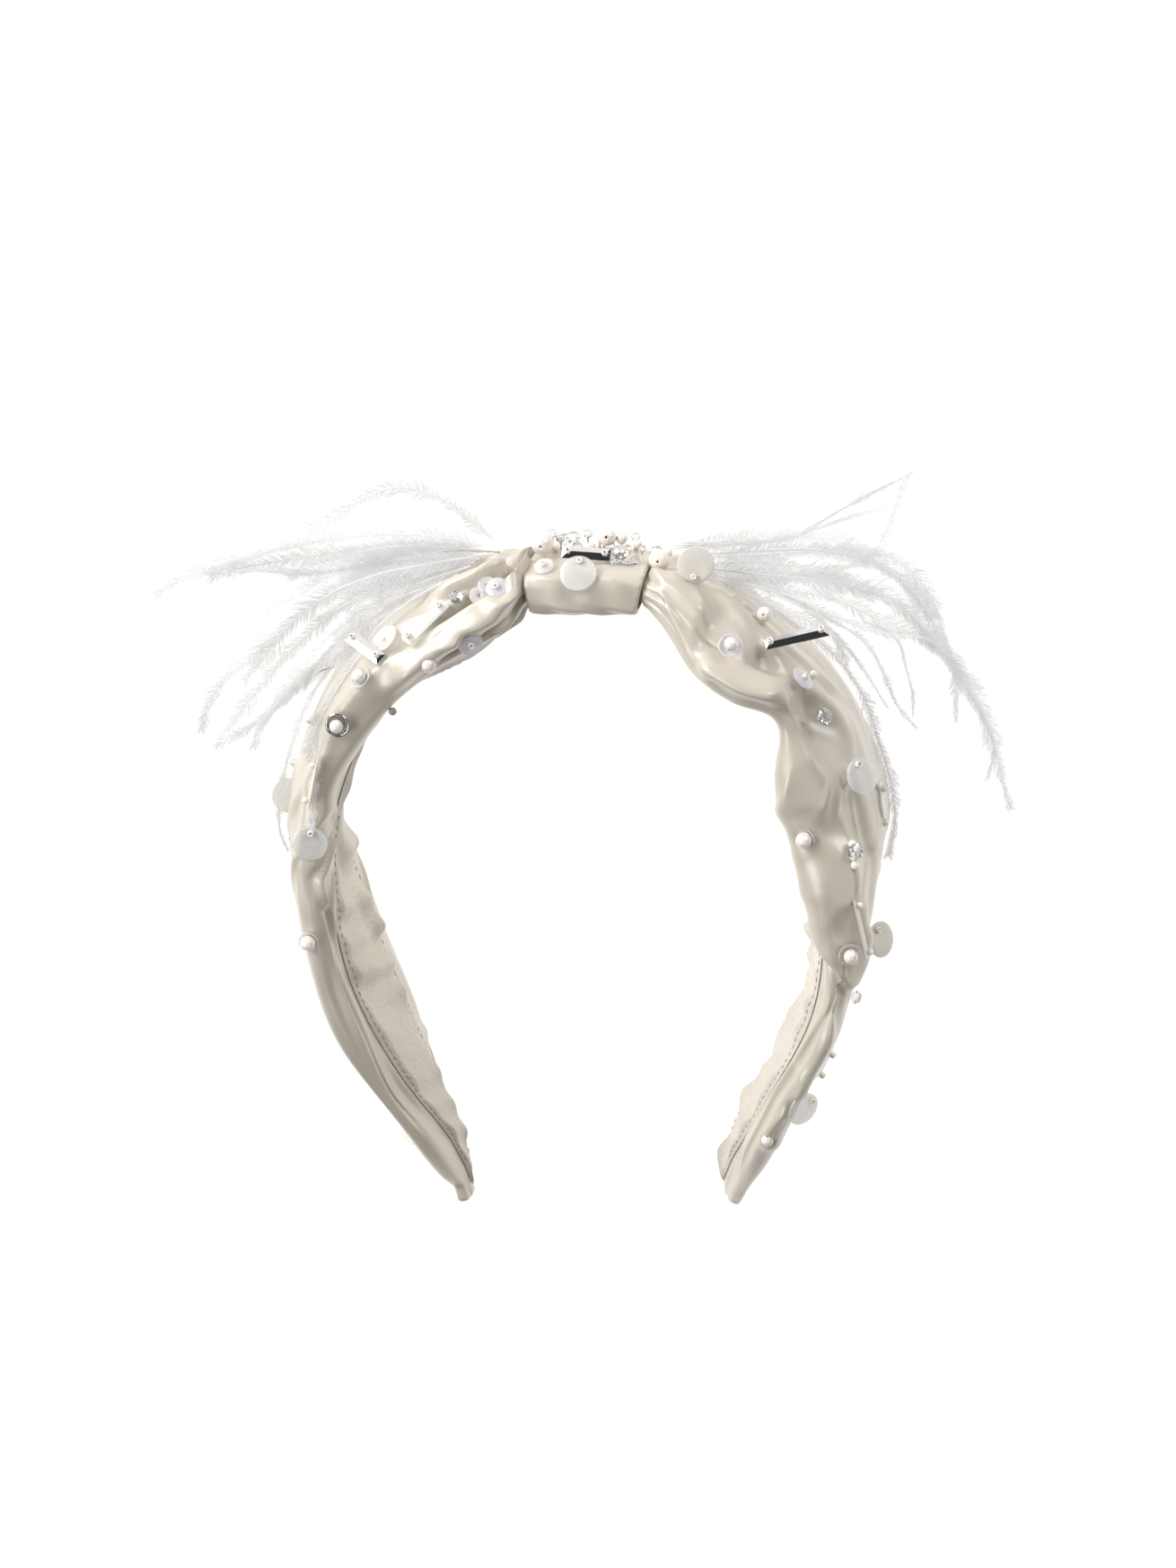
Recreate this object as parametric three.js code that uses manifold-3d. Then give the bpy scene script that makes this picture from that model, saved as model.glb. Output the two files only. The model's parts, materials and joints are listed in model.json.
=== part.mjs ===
// Swan feather headband: an alice band in loosely wound satin, drawn together by a
// wrap at the crown, with a plume at each side of the wrap and sewn-on trimmings.
// It lies on its rear edge: X runs across the head, Y up the head, Z to the forehead.
import * as THREE from "three";
import { mergeVertices } from "three/addons/utils/BufferGeometryUtils.js";
import Module from "manifold-3d";

const { Manifold, Mesh: SolidMesh } = await (async () => {
  const kernel = await Module();
  kernel.setup();
  return kernel;
})();

// Sizes are in millimetres. The middle line is where the hidden core runs.
const HALF_WIDTH = 61;
const CROWN_RISE = 59.5;
const EAR_HEIGHT = 5;
const TIPS = { left: { across: -32, down: -94 }, right: { across: 32.5, down: -88.5 } };
const LEG_PULL = 37;
const TIP_PULL = { across: 8, up: 27 };
const CROWN_EASE = { reach: 21, flatten: 0.006, skew: 0.045 };
const MID_DEPTH = 19;
const GAP = 0.35;

const LEG_STATIONS = 26;
const GATHER_STATIONS = 3;
const GATHER_HALF = 12.8;
const AROUND = 36;
const CORNER = 0.7;

// Satin cover, a row per section along the middle line from the crown: depth of its rear
// and front edge, thickness toward each edge, and how far each edge stands inward.
const COVER = [
  { along: -195, rearZ: 1.2, frontZ: 8.5, rearThick: 3.8, frontThick: 3.4, frontIn: 0, rearIn: 0 },
  { along: -190, rearZ: 0.2, frontZ: 13, rearThick: 5.2, frontThick: 4.8, frontIn: 0, rearIn: 0.5 },
  { along: -177, rearZ: -0.4, frontZ: 21, rearThick: 5.4, frontThick: 5.6, frontIn: 0, rearIn: 2.0 },
  { along: -160, rearZ: -0.6, frontZ: 29, rearThick: 6.0, frontThick: 6.2, frontIn: -1.4, rearIn: 3.0 },
  { along: -140, rearZ: -0.6, frontZ: 35, rearThick: 6.5, frontThick: 7.0, frontIn: -1.8, rearIn: 3.2 },
  { along: -118, rearZ: -0.8, frontZ: 38, rearThick: 7.0, frontThick: 8.0, frontIn: -1.0, rearIn: 1.2 },
  { along: -95, rearZ: -1.0, frontZ: 39, rearThick: 7.0, frontThick: 10.0, frontIn: 1.0, rearIn: -3.0 },
  { along: -75, rearZ: -1.0, frontZ: 39, rearThick: 8.0, frontThick: 13.0, frontIn: 1.4, rearIn: -3.0 },
  { along: -58, rearZ: -1.0, frontZ: 39, rearThick: 8.0, frontThick: 14.0, frontIn: 2.4, rearIn: -2.0 },
  { along: -40, rearZ: -0.5, frontZ: 38, rearThick: 8.5, frontThick: 15.5, frontIn: 3.0, rearIn: 0 },
  { along: -26, rearZ: 3, frontZ: 35, rearThick: 8.5, frontThick: 16.0, frontIn: 3.5, rearIn: 0 },
  { along: -17, rearZ: 6.5, frontZ: 31.5, rearThick: 7.5, frontThick: 12.6, frontIn: 2.5, rearIn: 0 },
  { along: -12.8, rearZ: 10, frontZ: 28, rearThick: 5.0, frontThick: 5.0, frontIn: 0, rearIn: 0 },
  { along: 0, rearZ: 10, frontZ: 28, rearThick: 5.0, frontThick: 5.0, frontIn: 0, rearIn: 0 },
  { along: 12.8, rearZ: 10, frontZ: 28, rearThick: 5.0, frontThick: 5.0, frontIn: 0, rearIn: 0 },
  { along: 17, rearZ: 6, frontZ: 32, rearThick: 8.0, frontThick: 9.5, frontIn: 0.8, rearIn: 0 },
  { along: 30, rearZ: 1, frontZ: 37, rearThick: 8.5, frontThick: 15.0, frontIn: 3.8, rearIn: 0 },
  { along: 42, rearZ: -0.2, frontZ: 39, rearThick: 8.0, frontThick: 14.5, frontIn: 3.4, rearIn: 0 },
  { along: 52, rearZ: -1.0, frontZ: 39.5, rearThick: 8.0, frontThick: 10.8, frontIn: 1.3, rearIn: 0 },
  { along: 62, rearZ: -1.0, frontZ: 39.5, rearThick: 8.0, frontThick: 14.5, frontIn: 3.4, rearIn: 0 },
  { along: 74, rearZ: -1.0, frontZ: 39.5, rearThick: 8.0, frontThick: 19.0, frontIn: 5.2, rearIn: 0 },
  { along: 90, rearZ: -1.0, frontZ: 39, rearThick: 8.0, frontThick: 17.0, frontIn: 4.2, rearIn: 0 },
  { along: 104, rearZ: -0.8, frontZ: 38.5, rearThick: 7.5, frontThick: 13.5, frontIn: 2.6, rearIn: 1.5 },
  { along: 118, rearZ: -0.6, frontZ: 37.5, rearThick: 7.0, frontThick: 9.5, frontIn: 0.4, rearIn: 2.4 },
  { along: 135, rearZ: -0.6, frontZ: 35, rearThick: 6.5, frontThick: 7.5, frontIn: -0.8, rearIn: 3.0 },
  { along: 158, rearZ: -0.6, frontZ: 29, rearThick: 6.0, frontThick: 6.4, frontIn: 0, rearIn: 3.5 },
  { along: 177, rearZ: -0.4, frontZ: 21, rearThick: 5.8, frontThick: 5.6, frontIn: 0, rearIn: 4.2 },
  { along: 190, rearZ: 0.2, frontZ: 13, rearThick: 5.4, frontThick: 4.8, frontIn: 0, rearIn: 2.4 },
  { along: 195, rearZ: 1.2, frontZ: 8.5, rearThick: 4.0, frontThick: 3.2, frontIn: 0, rearIn: 1.2 },
];

// Pleats and creases of the cover, a row per fold: the stretch it runs, the share of it
// where the fold is highest, where it starts round the section in degrees (0 front edge,
// 90 outside, 180 rear edge) and how far it drifts, its height (negative for a valley)
// and its breadth in degrees.
const FOLDS = [
  { from: -66, to: -13, peak: 0.8, at: 0, drift: 12, height: 2.0, breadth: 15 },
  { from: -58, to: -13, peak: 0.8, at: 32, drift: 6, height: -2.2, breadth: 12 },
  { from: -46, to: -13, peak: 0.8, at: 68, drift: 6, height: 1.8, breadth: 11 },
  { from: -42, to: -13, peak: 0.8, at: 90, drift: 0, height: -1.6, breadth: 9 },
  { from: -48, to: -13, peak: 0.8, at: 110, drift: 0, height: 1.6, breadth: 10 },
  { from: -44, to: -13, peak: 0.8, at: 132, drift: 0, height: -1.3, breadth: 10 },
  { from: -44, to: -13, peak: 0.8, at: 154, drift: 0, height: 1.2, breadth: 11 },
  { from: -88, to: -44, peak: 0.5, at: -16, drift: 32, height: 0.9, breadth: 11 },
  { from: -184, to: -96, peak: 0.5, at: -40, drift: 0, height: -1.1, breadth: 12 },
  { from: 13, to: 36, peak: 0.25, at: 74, drift: 6, height: 1.4, breadth: 11 },
  { from: 13, to: 46, peak: 0.25, at: 126, drift: 0, height: 1.4, breadth: 12 },
  { from: 13, to: 40, peak: 0.25, at: 100, drift: 0, height: -1.4, breadth: 11 },
  { from: 18, to: 52, peak: 0.6, at: 94, drift: -32, height: 1.3, breadth: 10 },
  { from: 44, to: 76, peak: 0.5, at: 58, drift: 36, height: 1.3, breadth: 10 },
  { from: 28, to: 54, peak: 0.5, at: -8, drift: 2, height: -1.2, breadth: 10 },
  { from: 28, to: 56, peak: 0.5, at: 24, drift: 0, height: 1.4, breadth: 16 },
  { from: 50, to: 76, peak: 0.5, at: 34, drift: 0, height: -1.7, breadth: 18 },
  { from: 64, to: 84, peak: 0.5, at: 88, drift: -100, height: 1.1, breadth: 15 },
  { from: 96, to: 120, peak: 0.5, at: 30, drift: 24, height: 0.9, breadth: 10 },
  { from: 106, to: 132, peak: 0.6, at: 4, drift: 34, height: -1.5, breadth: 13 },
  { from: 112, to: 180, peak: 0.5, at: -40, drift: 0, height: -0.9, breadth: 12 },
];

const middleLine = (() => {
  const leg = (side, tip) => {
    const ear = new THREE.Vector2(side * HALF_WIDTH, EAR_HEIGHT);
    const cheek = new THREE.Vector2(side * HALF_WIDTH, EAR_HEIGHT - LEG_PULL);
    const jaw = new THREE.Vector2(tip.across + side * TIP_PULL.across, tip.down + TIP_PULL.up);
    return [ear, cheek, jaw, new THREE.Vector2(tip.across, tip.down)];
  };
  const line = new THREE.CurvePath();
  line.add(new THREE.CubicBezierCurve(...leg(-1, TIPS.left).reverse()));
  line.add(new THREE.EllipseCurve(0, EAR_HEIGHT, HALF_WIDTH, CROWN_RISE, Math.PI, 0, true));
  line.add(new THREE.CubicBezierCurve(...leg(1, TIPS.right)));
  return line;
})();
const LEFT_LENGTH = middleLine.curves[0].getLength() + middleLine.curves[1].getLength() / 2;
const RIGHT_LENGTH = middleLine.curves[2].getLength() + middleLine.curves[1].getLength() / 2;
const LENGTH = LEFT_LENGTH + RIGHT_LENGTH;

function coverAt(column, along) {
  const next = COVER.findIndex((row) => row.along > along);
  const i = next < 0 ? COVER.length - 2 : Math.max(next - 1, 0);
  const slope = (k) => {
    const before = COVER[Math.max(k - 1, 0)];
    const after = COVER[Math.min(k + 1, COVER.length - 1)];
    return (after[column] - before[column]) / (after.along - before.along);
  };
  const span = COVER[i + 1].along - COVER[i].along;
  const t = THREE.MathUtils.clamp((along - COVER[i].along) / span, 0, 1);
  const u = 1 - t;
  return (
    COVER[i][column] * u * u * (1 + 2 * t) +
    COVER[i + 1][column] * t * t * (1 + 2 * u) +
    span * t * u * (slope(i) * u - slope(i + 1) * t)
  );
}

function foldHeight(along, degrees) {
  let height = 0;
  for (const fold of FOLDS) {
    const run = (along - fold.from) / (fold.to - fold.from);
    if (run <= 0 || run >= 1) continue;
    const crest = fold.at + fold.drift * run;
    const away = THREE.MathUtils.euclideanModulo(degrees - crest + 180, 360) - 180;
    const rise = THREE.MathUtils.smoothstep(run, 0, fold.peak) - THREE.MathUtils.smoothstep(run, fold.peak, 1);
    height += fold.height * rise * Math.exp(-((away / fold.breadth) ** 2));
  }
  return height;
}

const rounded = (value) => Math.sign(value) * Math.abs(value) ** CORNER;

// The crown runs straighter and a little askew where the wrap grips it.
function crownEase(along) {
  const grip = Math.exp(-((along / CROWN_EASE.reach) ** 4));
  return grip * (CROWN_EASE.flatten * along ** 2 + CROWN_EASE.skew * along);
}

// A point given by its place along the middle line, its height off it and its depth.
function bandPoint(along, height, depth) {
  const share = THREE.MathUtils.clamp((along + LEFT_LENGTH) / LENGTH, 0, 1);
  const point = middleLine.getPointAt(share);
  const ahead = middleLine.getTangentAt(share);
  const off = height + crownEase(along);
  return new THREE.Vector3(point.x - ahead.y * off, point.y + ahead.x * off, depth);
}

function coverPoint(along, degrees, lift = 0) {
  const angle = THREE.MathUtils.degToRad(degrees);
  const toFront = rounded(Math.cos(angle));
  const forward = THREE.MathUtils.smoothstep(toFront, -1, 1);
  const mix = (rear, front) => THREE.MathUtils.lerp(coverAt(rear, along), coverAt(front, along), forward);
  const height =
    (mix("rearThick", "frontThick") / 2) * rounded(Math.sin(angle)) -
    mix("rearIn", "frontIn") +
    foldHeight(along, degrees);
  const depth = THREE.MathUtils.lerp(coverAt("rearZ", along), coverAt("frontZ", along), (1 + toFront) / 2);
  return bandPoint(along, height + lift, Math.max(depth, 0));
}

// The cover's surface at a place, with the way it faces.
function coverSeat(along, degrees) {
  const step = 1.5;
  const forward = coverPoint(along + step, degrees).sub(coverPoint(along - step, degrees));
  const turn = coverPoint(along, degrees + step).sub(coverPoint(along, degrees - step));
  return { point: coverPoint(along, degrees), normal: forward.cross(turn).normalize() };
}

// A closed skin over rows of points, each row a closed ring.
function ringSolid(rings, capped = true) {
  const count = rings[0].length;
  const points = rings.flat();
  const faces = [];
  const rowPairs = capped ? rings.length - 1 : rings.length;
  for (let i = 0; i < rowPairs; i++) {
    const here = i * count;
    const there = ((i + 1) % rings.length) * count;
    for (let j = 0; j < count; j++) {
      const k = (j + 1) % count;
      faces.push(here + j, there + j, there + k, here + j, there + k, here + k);
    }
  }
  if (capped) {
    for (const [ring, last] of [[rings[0], false], [rings[rings.length - 1], true]]) {
      const middle = ring.reduce((sum, p) => sum.add(p), new THREE.Vector3()).divideScalar(count);
      const centre = points.push(middle) - 1;
      const start = last ? (rings.length - 1) * count : 0;
      for (let j = 0; j < count; j++) {
        const k = (j + 1) % count;
        faces.push(centre, start + (last ? k : j), start + (last ? j : k));
      }
    }
  }
  const geometry = new THREE.BufferGeometry().setFromPoints(points);
  geometry.setIndex(faces);
  return facingOut(geometry);
}

// Turns the faces over where the skin came out inside out.
function facingOut(geometry) {
  const at = geometry.getAttribute("position");
  const index = geometry.getIndex();
  const [a, b, c] = [new THREE.Vector3(), new THREE.Vector3(), new THREE.Vector3()];
  let volume = 0;
  for (let i = 0; i < index.count; i += 3) {
    a.fromBufferAttribute(at, index.getX(i));
    b.fromBufferAttribute(at, index.getX(i + 1));
    c.fromBufferAttribute(at, index.getX(i + 2));
    volume += a.dot(b.cross(c));
  }
  if (volume < 0) {
    for (let i = 0; i < index.count; i += 3) {
      const first = index.getX(i);
      index.setX(i, index.getX(i + 1));
      index.setX(i + 1, first);
    }
  }
  return geometry;
}

const headband = new THREE.Group();
headband.name = "swan_feather_headband";

function addPiece(name, geometry, look) {
  geometry.computeVertexNormals();
  const piece = new THREE.Mesh(geometry, new THREE.MeshStandardMaterial(look));
  piece.name = name;
  headband.add(piece);
  return piece;
}

const SATIN = { color: 0xeee4d2, roughness: 0.35, metalness: 0 };
const CREPE = { color: 0xe6dcc8, roughness: 0.85, metalness: 0 };

const stations = [];
for (let i = 0; i < LEG_STATIONS; i++) {
  stations.push(THREE.MathUtils.lerp(-LEFT_LENGTH, -GATHER_HALF, i / LEG_STATIONS));
}
for (let i = 0; i < GATHER_STATIONS; i++) {
  stations.push(THREE.MathUtils.lerp(-GATHER_HALF, GATHER_HALF, i / GATHER_STATIONS));
}
for (let i = 0; i <= LEG_STATIONS; i++) {
  stations.push(THREE.MathUtils.lerp(GATHER_HALF, RIGHT_LENGTH, i / LEG_STATIONS));
}
const stepAround = 360 / AROUND;

const coverRings = stations.map((along) => {
  const ring = [];
  for (let j = 0; j < AROUND; j++) {
    ring.push(coverPoint(along, j * stepAround));
  }
  return ring;
});
addPiece("satin_cover", ringSolid(coverRings), SATIN);

// Lining: a ribbon on the inside of the cover, between two places round the section.
// Its front edge lies further back at the crown than along the legs.
const LINING = { crownFront: -80, legFront: -60, rear: -110, thickness: 1, lift: 0.5, endGap: 3, steps: 5 };
const LINING_TURN = { from: 60, to: 100 };
const liningRings = stations.slice(LINING.endGap, -LINING.endGap).map((along) => {
  const outside = [];
  const inside = [];
  const onLeg = THREE.MathUtils.smoothstep(Math.abs(along), LINING_TURN.from, LINING_TURN.to);
  const front = THREE.MathUtils.lerp(LINING.crownFront, LINING.legFront, onLeg);
  for (let i = 0; i <= LINING.steps; i++) {
    const degrees = THREE.MathUtils.lerp(front, LINING.rear, i / LINING.steps);
    outside.push(coverPoint(along, degrees, -LINING.lift));
    inside.unshift(coverPoint(along, degrees, -LINING.lift - LINING.thickness));
  }
  return [...outside, ...inside];
});
addPiece("lining", ringSolid(liningRings), CREPE);

// Centre wrap: a padded sleeve, a little fuller in its middle.
const WRAP = { halfLength: 12.4, depth: 21.8, thickness: 10.2, wall: 1.2, drop: 0.8, fullness: 0.8 };
const WRAP_STEPS = 8;
const WRAP_AROUND = 24;
function wrapRing(along, shrink) {
  const bulge = WRAP.fullness * (1 - (along / WRAP.halfLength) ** 2);
  const ring = [];
  for (let j = 0; j < WRAP_AROUND; j++) {
    const angle = (j / WRAP_AROUND) * 2 * Math.PI;
    const height = (WRAP.thickness / 2 - shrink + bulge) * rounded(Math.sin(angle)) - WRAP.drop;
    const depth = MID_DEPTH + (WRAP.depth / 2 - shrink + bulge) * rounded(Math.cos(angle));
    ring.push(bandPoint(along, height, depth));
  }
  return ring;
}
const wrapRings = [];
for (let i = 0; i <= WRAP_STEPS; i++) {
  wrapRings.push(wrapRing((i / WRAP_STEPS - 0.5) * 2 * WRAP.halfLength, 0));
}
for (let i = WRAP_STEPS; i >= 0; i--) {
  wrapRings.push(wrapRing((i / WRAP_STEPS - 0.5) * 2 * WRAP.halfLength, WRAP.wall));
}
addPiece("center_wrap", ringSolid(wrapRings, false), SATIN);

// Plumes: locks fused to a bound head on the outside of the cover, beside the wrap. A
// path is a row of [along, height off the middle line, depth]; width is in its middle.
const PLUME_HEAD = { along: 18, degrees: 104, length: 8, height: 3.2, depth: 7, lift: 1.5 };
const LOCK_THICKNESS = 2;
const LOCK_STEPS = 9;
const LOCK_SIDES = 6;
const PLUMES = {
  plume_left: [
    { width: 5, path: [[-22, 13, 15], [-29, 29, 15], [-47, 31, 18], [-65, 49, 19]] },
    { width: 8, path: [[-26, 13, 13], [-38, 20, 14], [-52, 33, 15], [-63, 46, 15]] },
    { width: 10, path: [[-27, 12, 17], [-41, 14, 20], [-57, 20, 21], [-78, 28, 22]] },
    { width: 9, path: [[-26, 12, 19], [-45, 12.5, 25], [-64, 16, 27], [-84, 24, 28]] },
    { width: 7, path: [[-24, 12, 15], [-44, 12, 16], [-67, 12.5, 16], [-83, 17, 17]] },
  ],
  plume_right: [
    { width: 5, path: [[22, 12, 14], [31, 18, 14], [39, 28, 15], [41, 50, 16]] },
    { width: 8, path: [[23, 12.5, 13], [35, 22, 13], [48, 37, 14], [66, 32, 15], [89, 34, 16]] },
    { width: 9, path: [[24, 12, 16], [40, 17, 18], [56, 25, 19], [84, 29, 20]] },
    { width: 9, path: [[26, 12, 18], [43, 13.5, 23], [57, 17, 24], [73, 17, 25]] },
    { width: 7, path: [[26, 12, 12], [42, 14, 8], [54, 18, 8], [64, 22, 9]] },
  ],
};
const FEATHER = { color: 0xf6f4ef, roughness: 0.9, metalness: 0 };

const solidOf = (geometry) => {
  const welded = mergeVertices(geometry, 1e-4);
  return new Manifold(new SolidMesh({
    numProp: 3,
    vertProperties: new Float32Array(welded.getAttribute("position").array),
    triVerts: new Uint32Array(welded.getIndex().array),
  }));
};

const geometryOf = (solid) => {
  const mesh = solid.getMesh();
  const geometry = new THREE.BufferGeometry();
  geometry.setAttribute("position", new THREE.BufferAttribute(mesh.vertProperties, 3));
  geometry.setIndex(new THREE.BufferAttribute(mesh.triVerts, 1));
  return geometry;
};

// A flat tapering lock along a path, broad side to the front.
function lockSolid(path, width) {
  const curve = new THREE.CatmullRomCurve3(path, false, "centripetal");
  const rings = [];
  for (let i = 0; i <= LOCK_STEPS; i++) {
    const share = i / LOCK_STEPS;
    const at = curve.getPointAt(share);
    const ahead = curve.getTangentAt(share);
    const across = new THREE.Vector3(-ahead.y, ahead.x, 0).normalize();
    const through = new THREE.Vector3().crossVectors(ahead, across);
    const fullness = 0.22 + 0.78 * Math.sin(Math.PI * Math.min(0.18 + share * 0.8, 1)) ** 0.8;
    const ring = [];
    for (let j = 0; j < LOCK_SIDES; j++) {
      const angle = (j / LOCK_SIDES) * 2 * Math.PI;
      ring.push(
        at
          .clone()
          .addScaledVector(across, (width / 2) * fullness * Math.cos(angle))
          .addScaledVector(through, (LOCK_THICKNESS / 2) * fullness * Math.sin(angle)),
      );
    }
    rings.push(ring);
  }
  return solidOf(ringSolid(rings));
}

for (const [name, locks] of Object.entries(PLUMES)) {
  const side = Math.sign(locks[0].path[0][0]);
  const seat = coverSeat(side * PLUME_HEAD.along, PLUME_HEAD.degrees);
  const centre = seat.point.clone().addScaledVector(seat.normal, PLUME_HEAD.height / 2 + PLUME_HEAD.lift);
  const head = new THREE.SphereGeometry(0.5, 10, 6);
  head.scale(PLUME_HEAD.length, PLUME_HEAD.height, PLUME_HEAD.depth);
  head.rotateZ(Math.atan2(seat.normal.y, seat.normal.x) - Math.PI / 2);
  head.translate(...centre.toArray());
  head.deleteAttribute("normal");
  head.deleteAttribute("uv");
  const solids = locks.map((lock) =>
    lockSolid([centre, ...lock.path.map((place) => bandPoint(...place))], lock.width),
  );
  addPiece(name, geometryOf(Manifold.union([solidOf(head), ...solids])), FEATHER);
}

// Trimmings. Each kind is modelled lying on its seat, facing +Z, sewn end at -X.
const PAILLETTE = { diameter: 8, thickness: 0.4, hole: 1.2, sides: 16 };
const SEQUIN = { thickness: 0.35, hole: 1.0, sides: 14 };
const BAR = { width: 3, thickness: 0.8, hole: 1.0, holeFromEnd: 1.3 };
const CUP = { diameter: 5.4, height: 1.4, wall: 0.4, sides: 10 };
const PEARL = { sides: 10, rings: 6 };
const CRYSTAL = { sides: 8, table: 0.55, girdle: 0.45, base: 0.6, height: 0.62 };

const circle = (x, y, diameter, sides) => {
  const points = [];
  for (let i = 0; i < sides; i++) {
    const angle = (i / sides) * 2 * Math.PI;
    points.push(new THREE.Vector2(x + (diameter / 2) * Math.cos(angle), y + (diameter / 2) * Math.sin(angle)));
  }
  return points;
};

function plate(outline, holes, thickness) {
  const shape = new THREE.Shape(outline);
  shape.holes = holes.map((hole) => new THREE.Path(hole));
  return new THREE.ExtrudeGeometry(shape, { depth: thickness, bevelEnabled: false });
}

const KINDS = {
  paillette: () => {
    const hole = circle(1.3 - PAILLETTE.diameter / 2, 0, PAILLETTE.hole, 6);
    return plate(circle(0, 0, PAILLETTE.diameter, PAILLETTE.sides), [hole], PAILLETTE.thickness);
  },
  sequin: (size) => {
    const hole = circle(0, 0, SEQUIN.hole, 6);
    return plate(circle(0, 0, size, SEQUIN.sides), [hole], SEQUIN.thickness);
  },
  bar: (size) => {
    const [x, y] = [size / 2, BAR.width / 2];
    const outline = [[-x, -y], [x, -y], [x, y], [-x, y]].map((corner) => new THREE.Vector2(...corner));
    const holes = [-1, 1].map((end) => circle(end * (x - BAR.holeFromEnd), 0, BAR.hole, 6));
    return plate(outline, holes, BAR.thickness);
  },
  cup: () => {
    const [r, h, w] = [CUP.diameter / 2, CUP.height, CUP.wall];
    const profile = [[0, 0], [0.4 * r, 0], [0.8 * r, 0.42 * h], [r, h], [r - w, h], [0.72 * r, 0.5 * h + w / 2],
      [0.36 * r, w], [0, w]];
    const turned = new THREE.LatheGeometry(profile.map((corner) => new THREE.Vector2(...corner)), CUP.sides);
    return turned.rotateX(Math.PI / 2);
  },
  pearl: (size) => new THREE.SphereGeometry(size / 2, PEARL.sides, PEARL.rings).translate(0, 0, size / 2),
  crystal: (size) => {
    const [r, h] = [size / 2, size * CRYSTAL.height];
    const profile = [[0, 0], [CRYSTAL.base * r, 0], [r, CRYSTAL.girdle * h], [CRYSTAL.table * r, h], [0, h]];
    const turned = new THREE.LatheGeometry(profile.map((corner) => new THREE.Vector2(...corner)), CRYSTAL.sides);
    return turned.rotateX(Math.PI / 2);
  },
};

// How far a standing piece's sewing hole lies from its middle.
const sewnInset = (trim) => (trim.kind === "bar" ? trim.size / 2 - BAR.holeFromEnd : PAILLETTE.diameter / 2 - 1.3);

const LOOKS = {
  milky: { color: 0xece8e0, roughness: 0.25, metalness: 0 },
  ivory: { color: 0xd8d2c6, roughness: 0.3, metalness: 0 },
  clear: { color: 0xf2f2f0, roughness: 0.08, metalness: 0 },
  lilac: { color: 0xd9d2e6, roughness: 0.12, metalness: 0.2 },
  mirror: { color: 0xb9bab8, roughness: 0.05, metalness: 1 },
  pearl: { color: 0xefe3d6, roughness: 0.2, metalness: 0 },
  crystal: { color: 0xeef0f0, roughness: 0.03, metalness: 0 },
};

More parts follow.
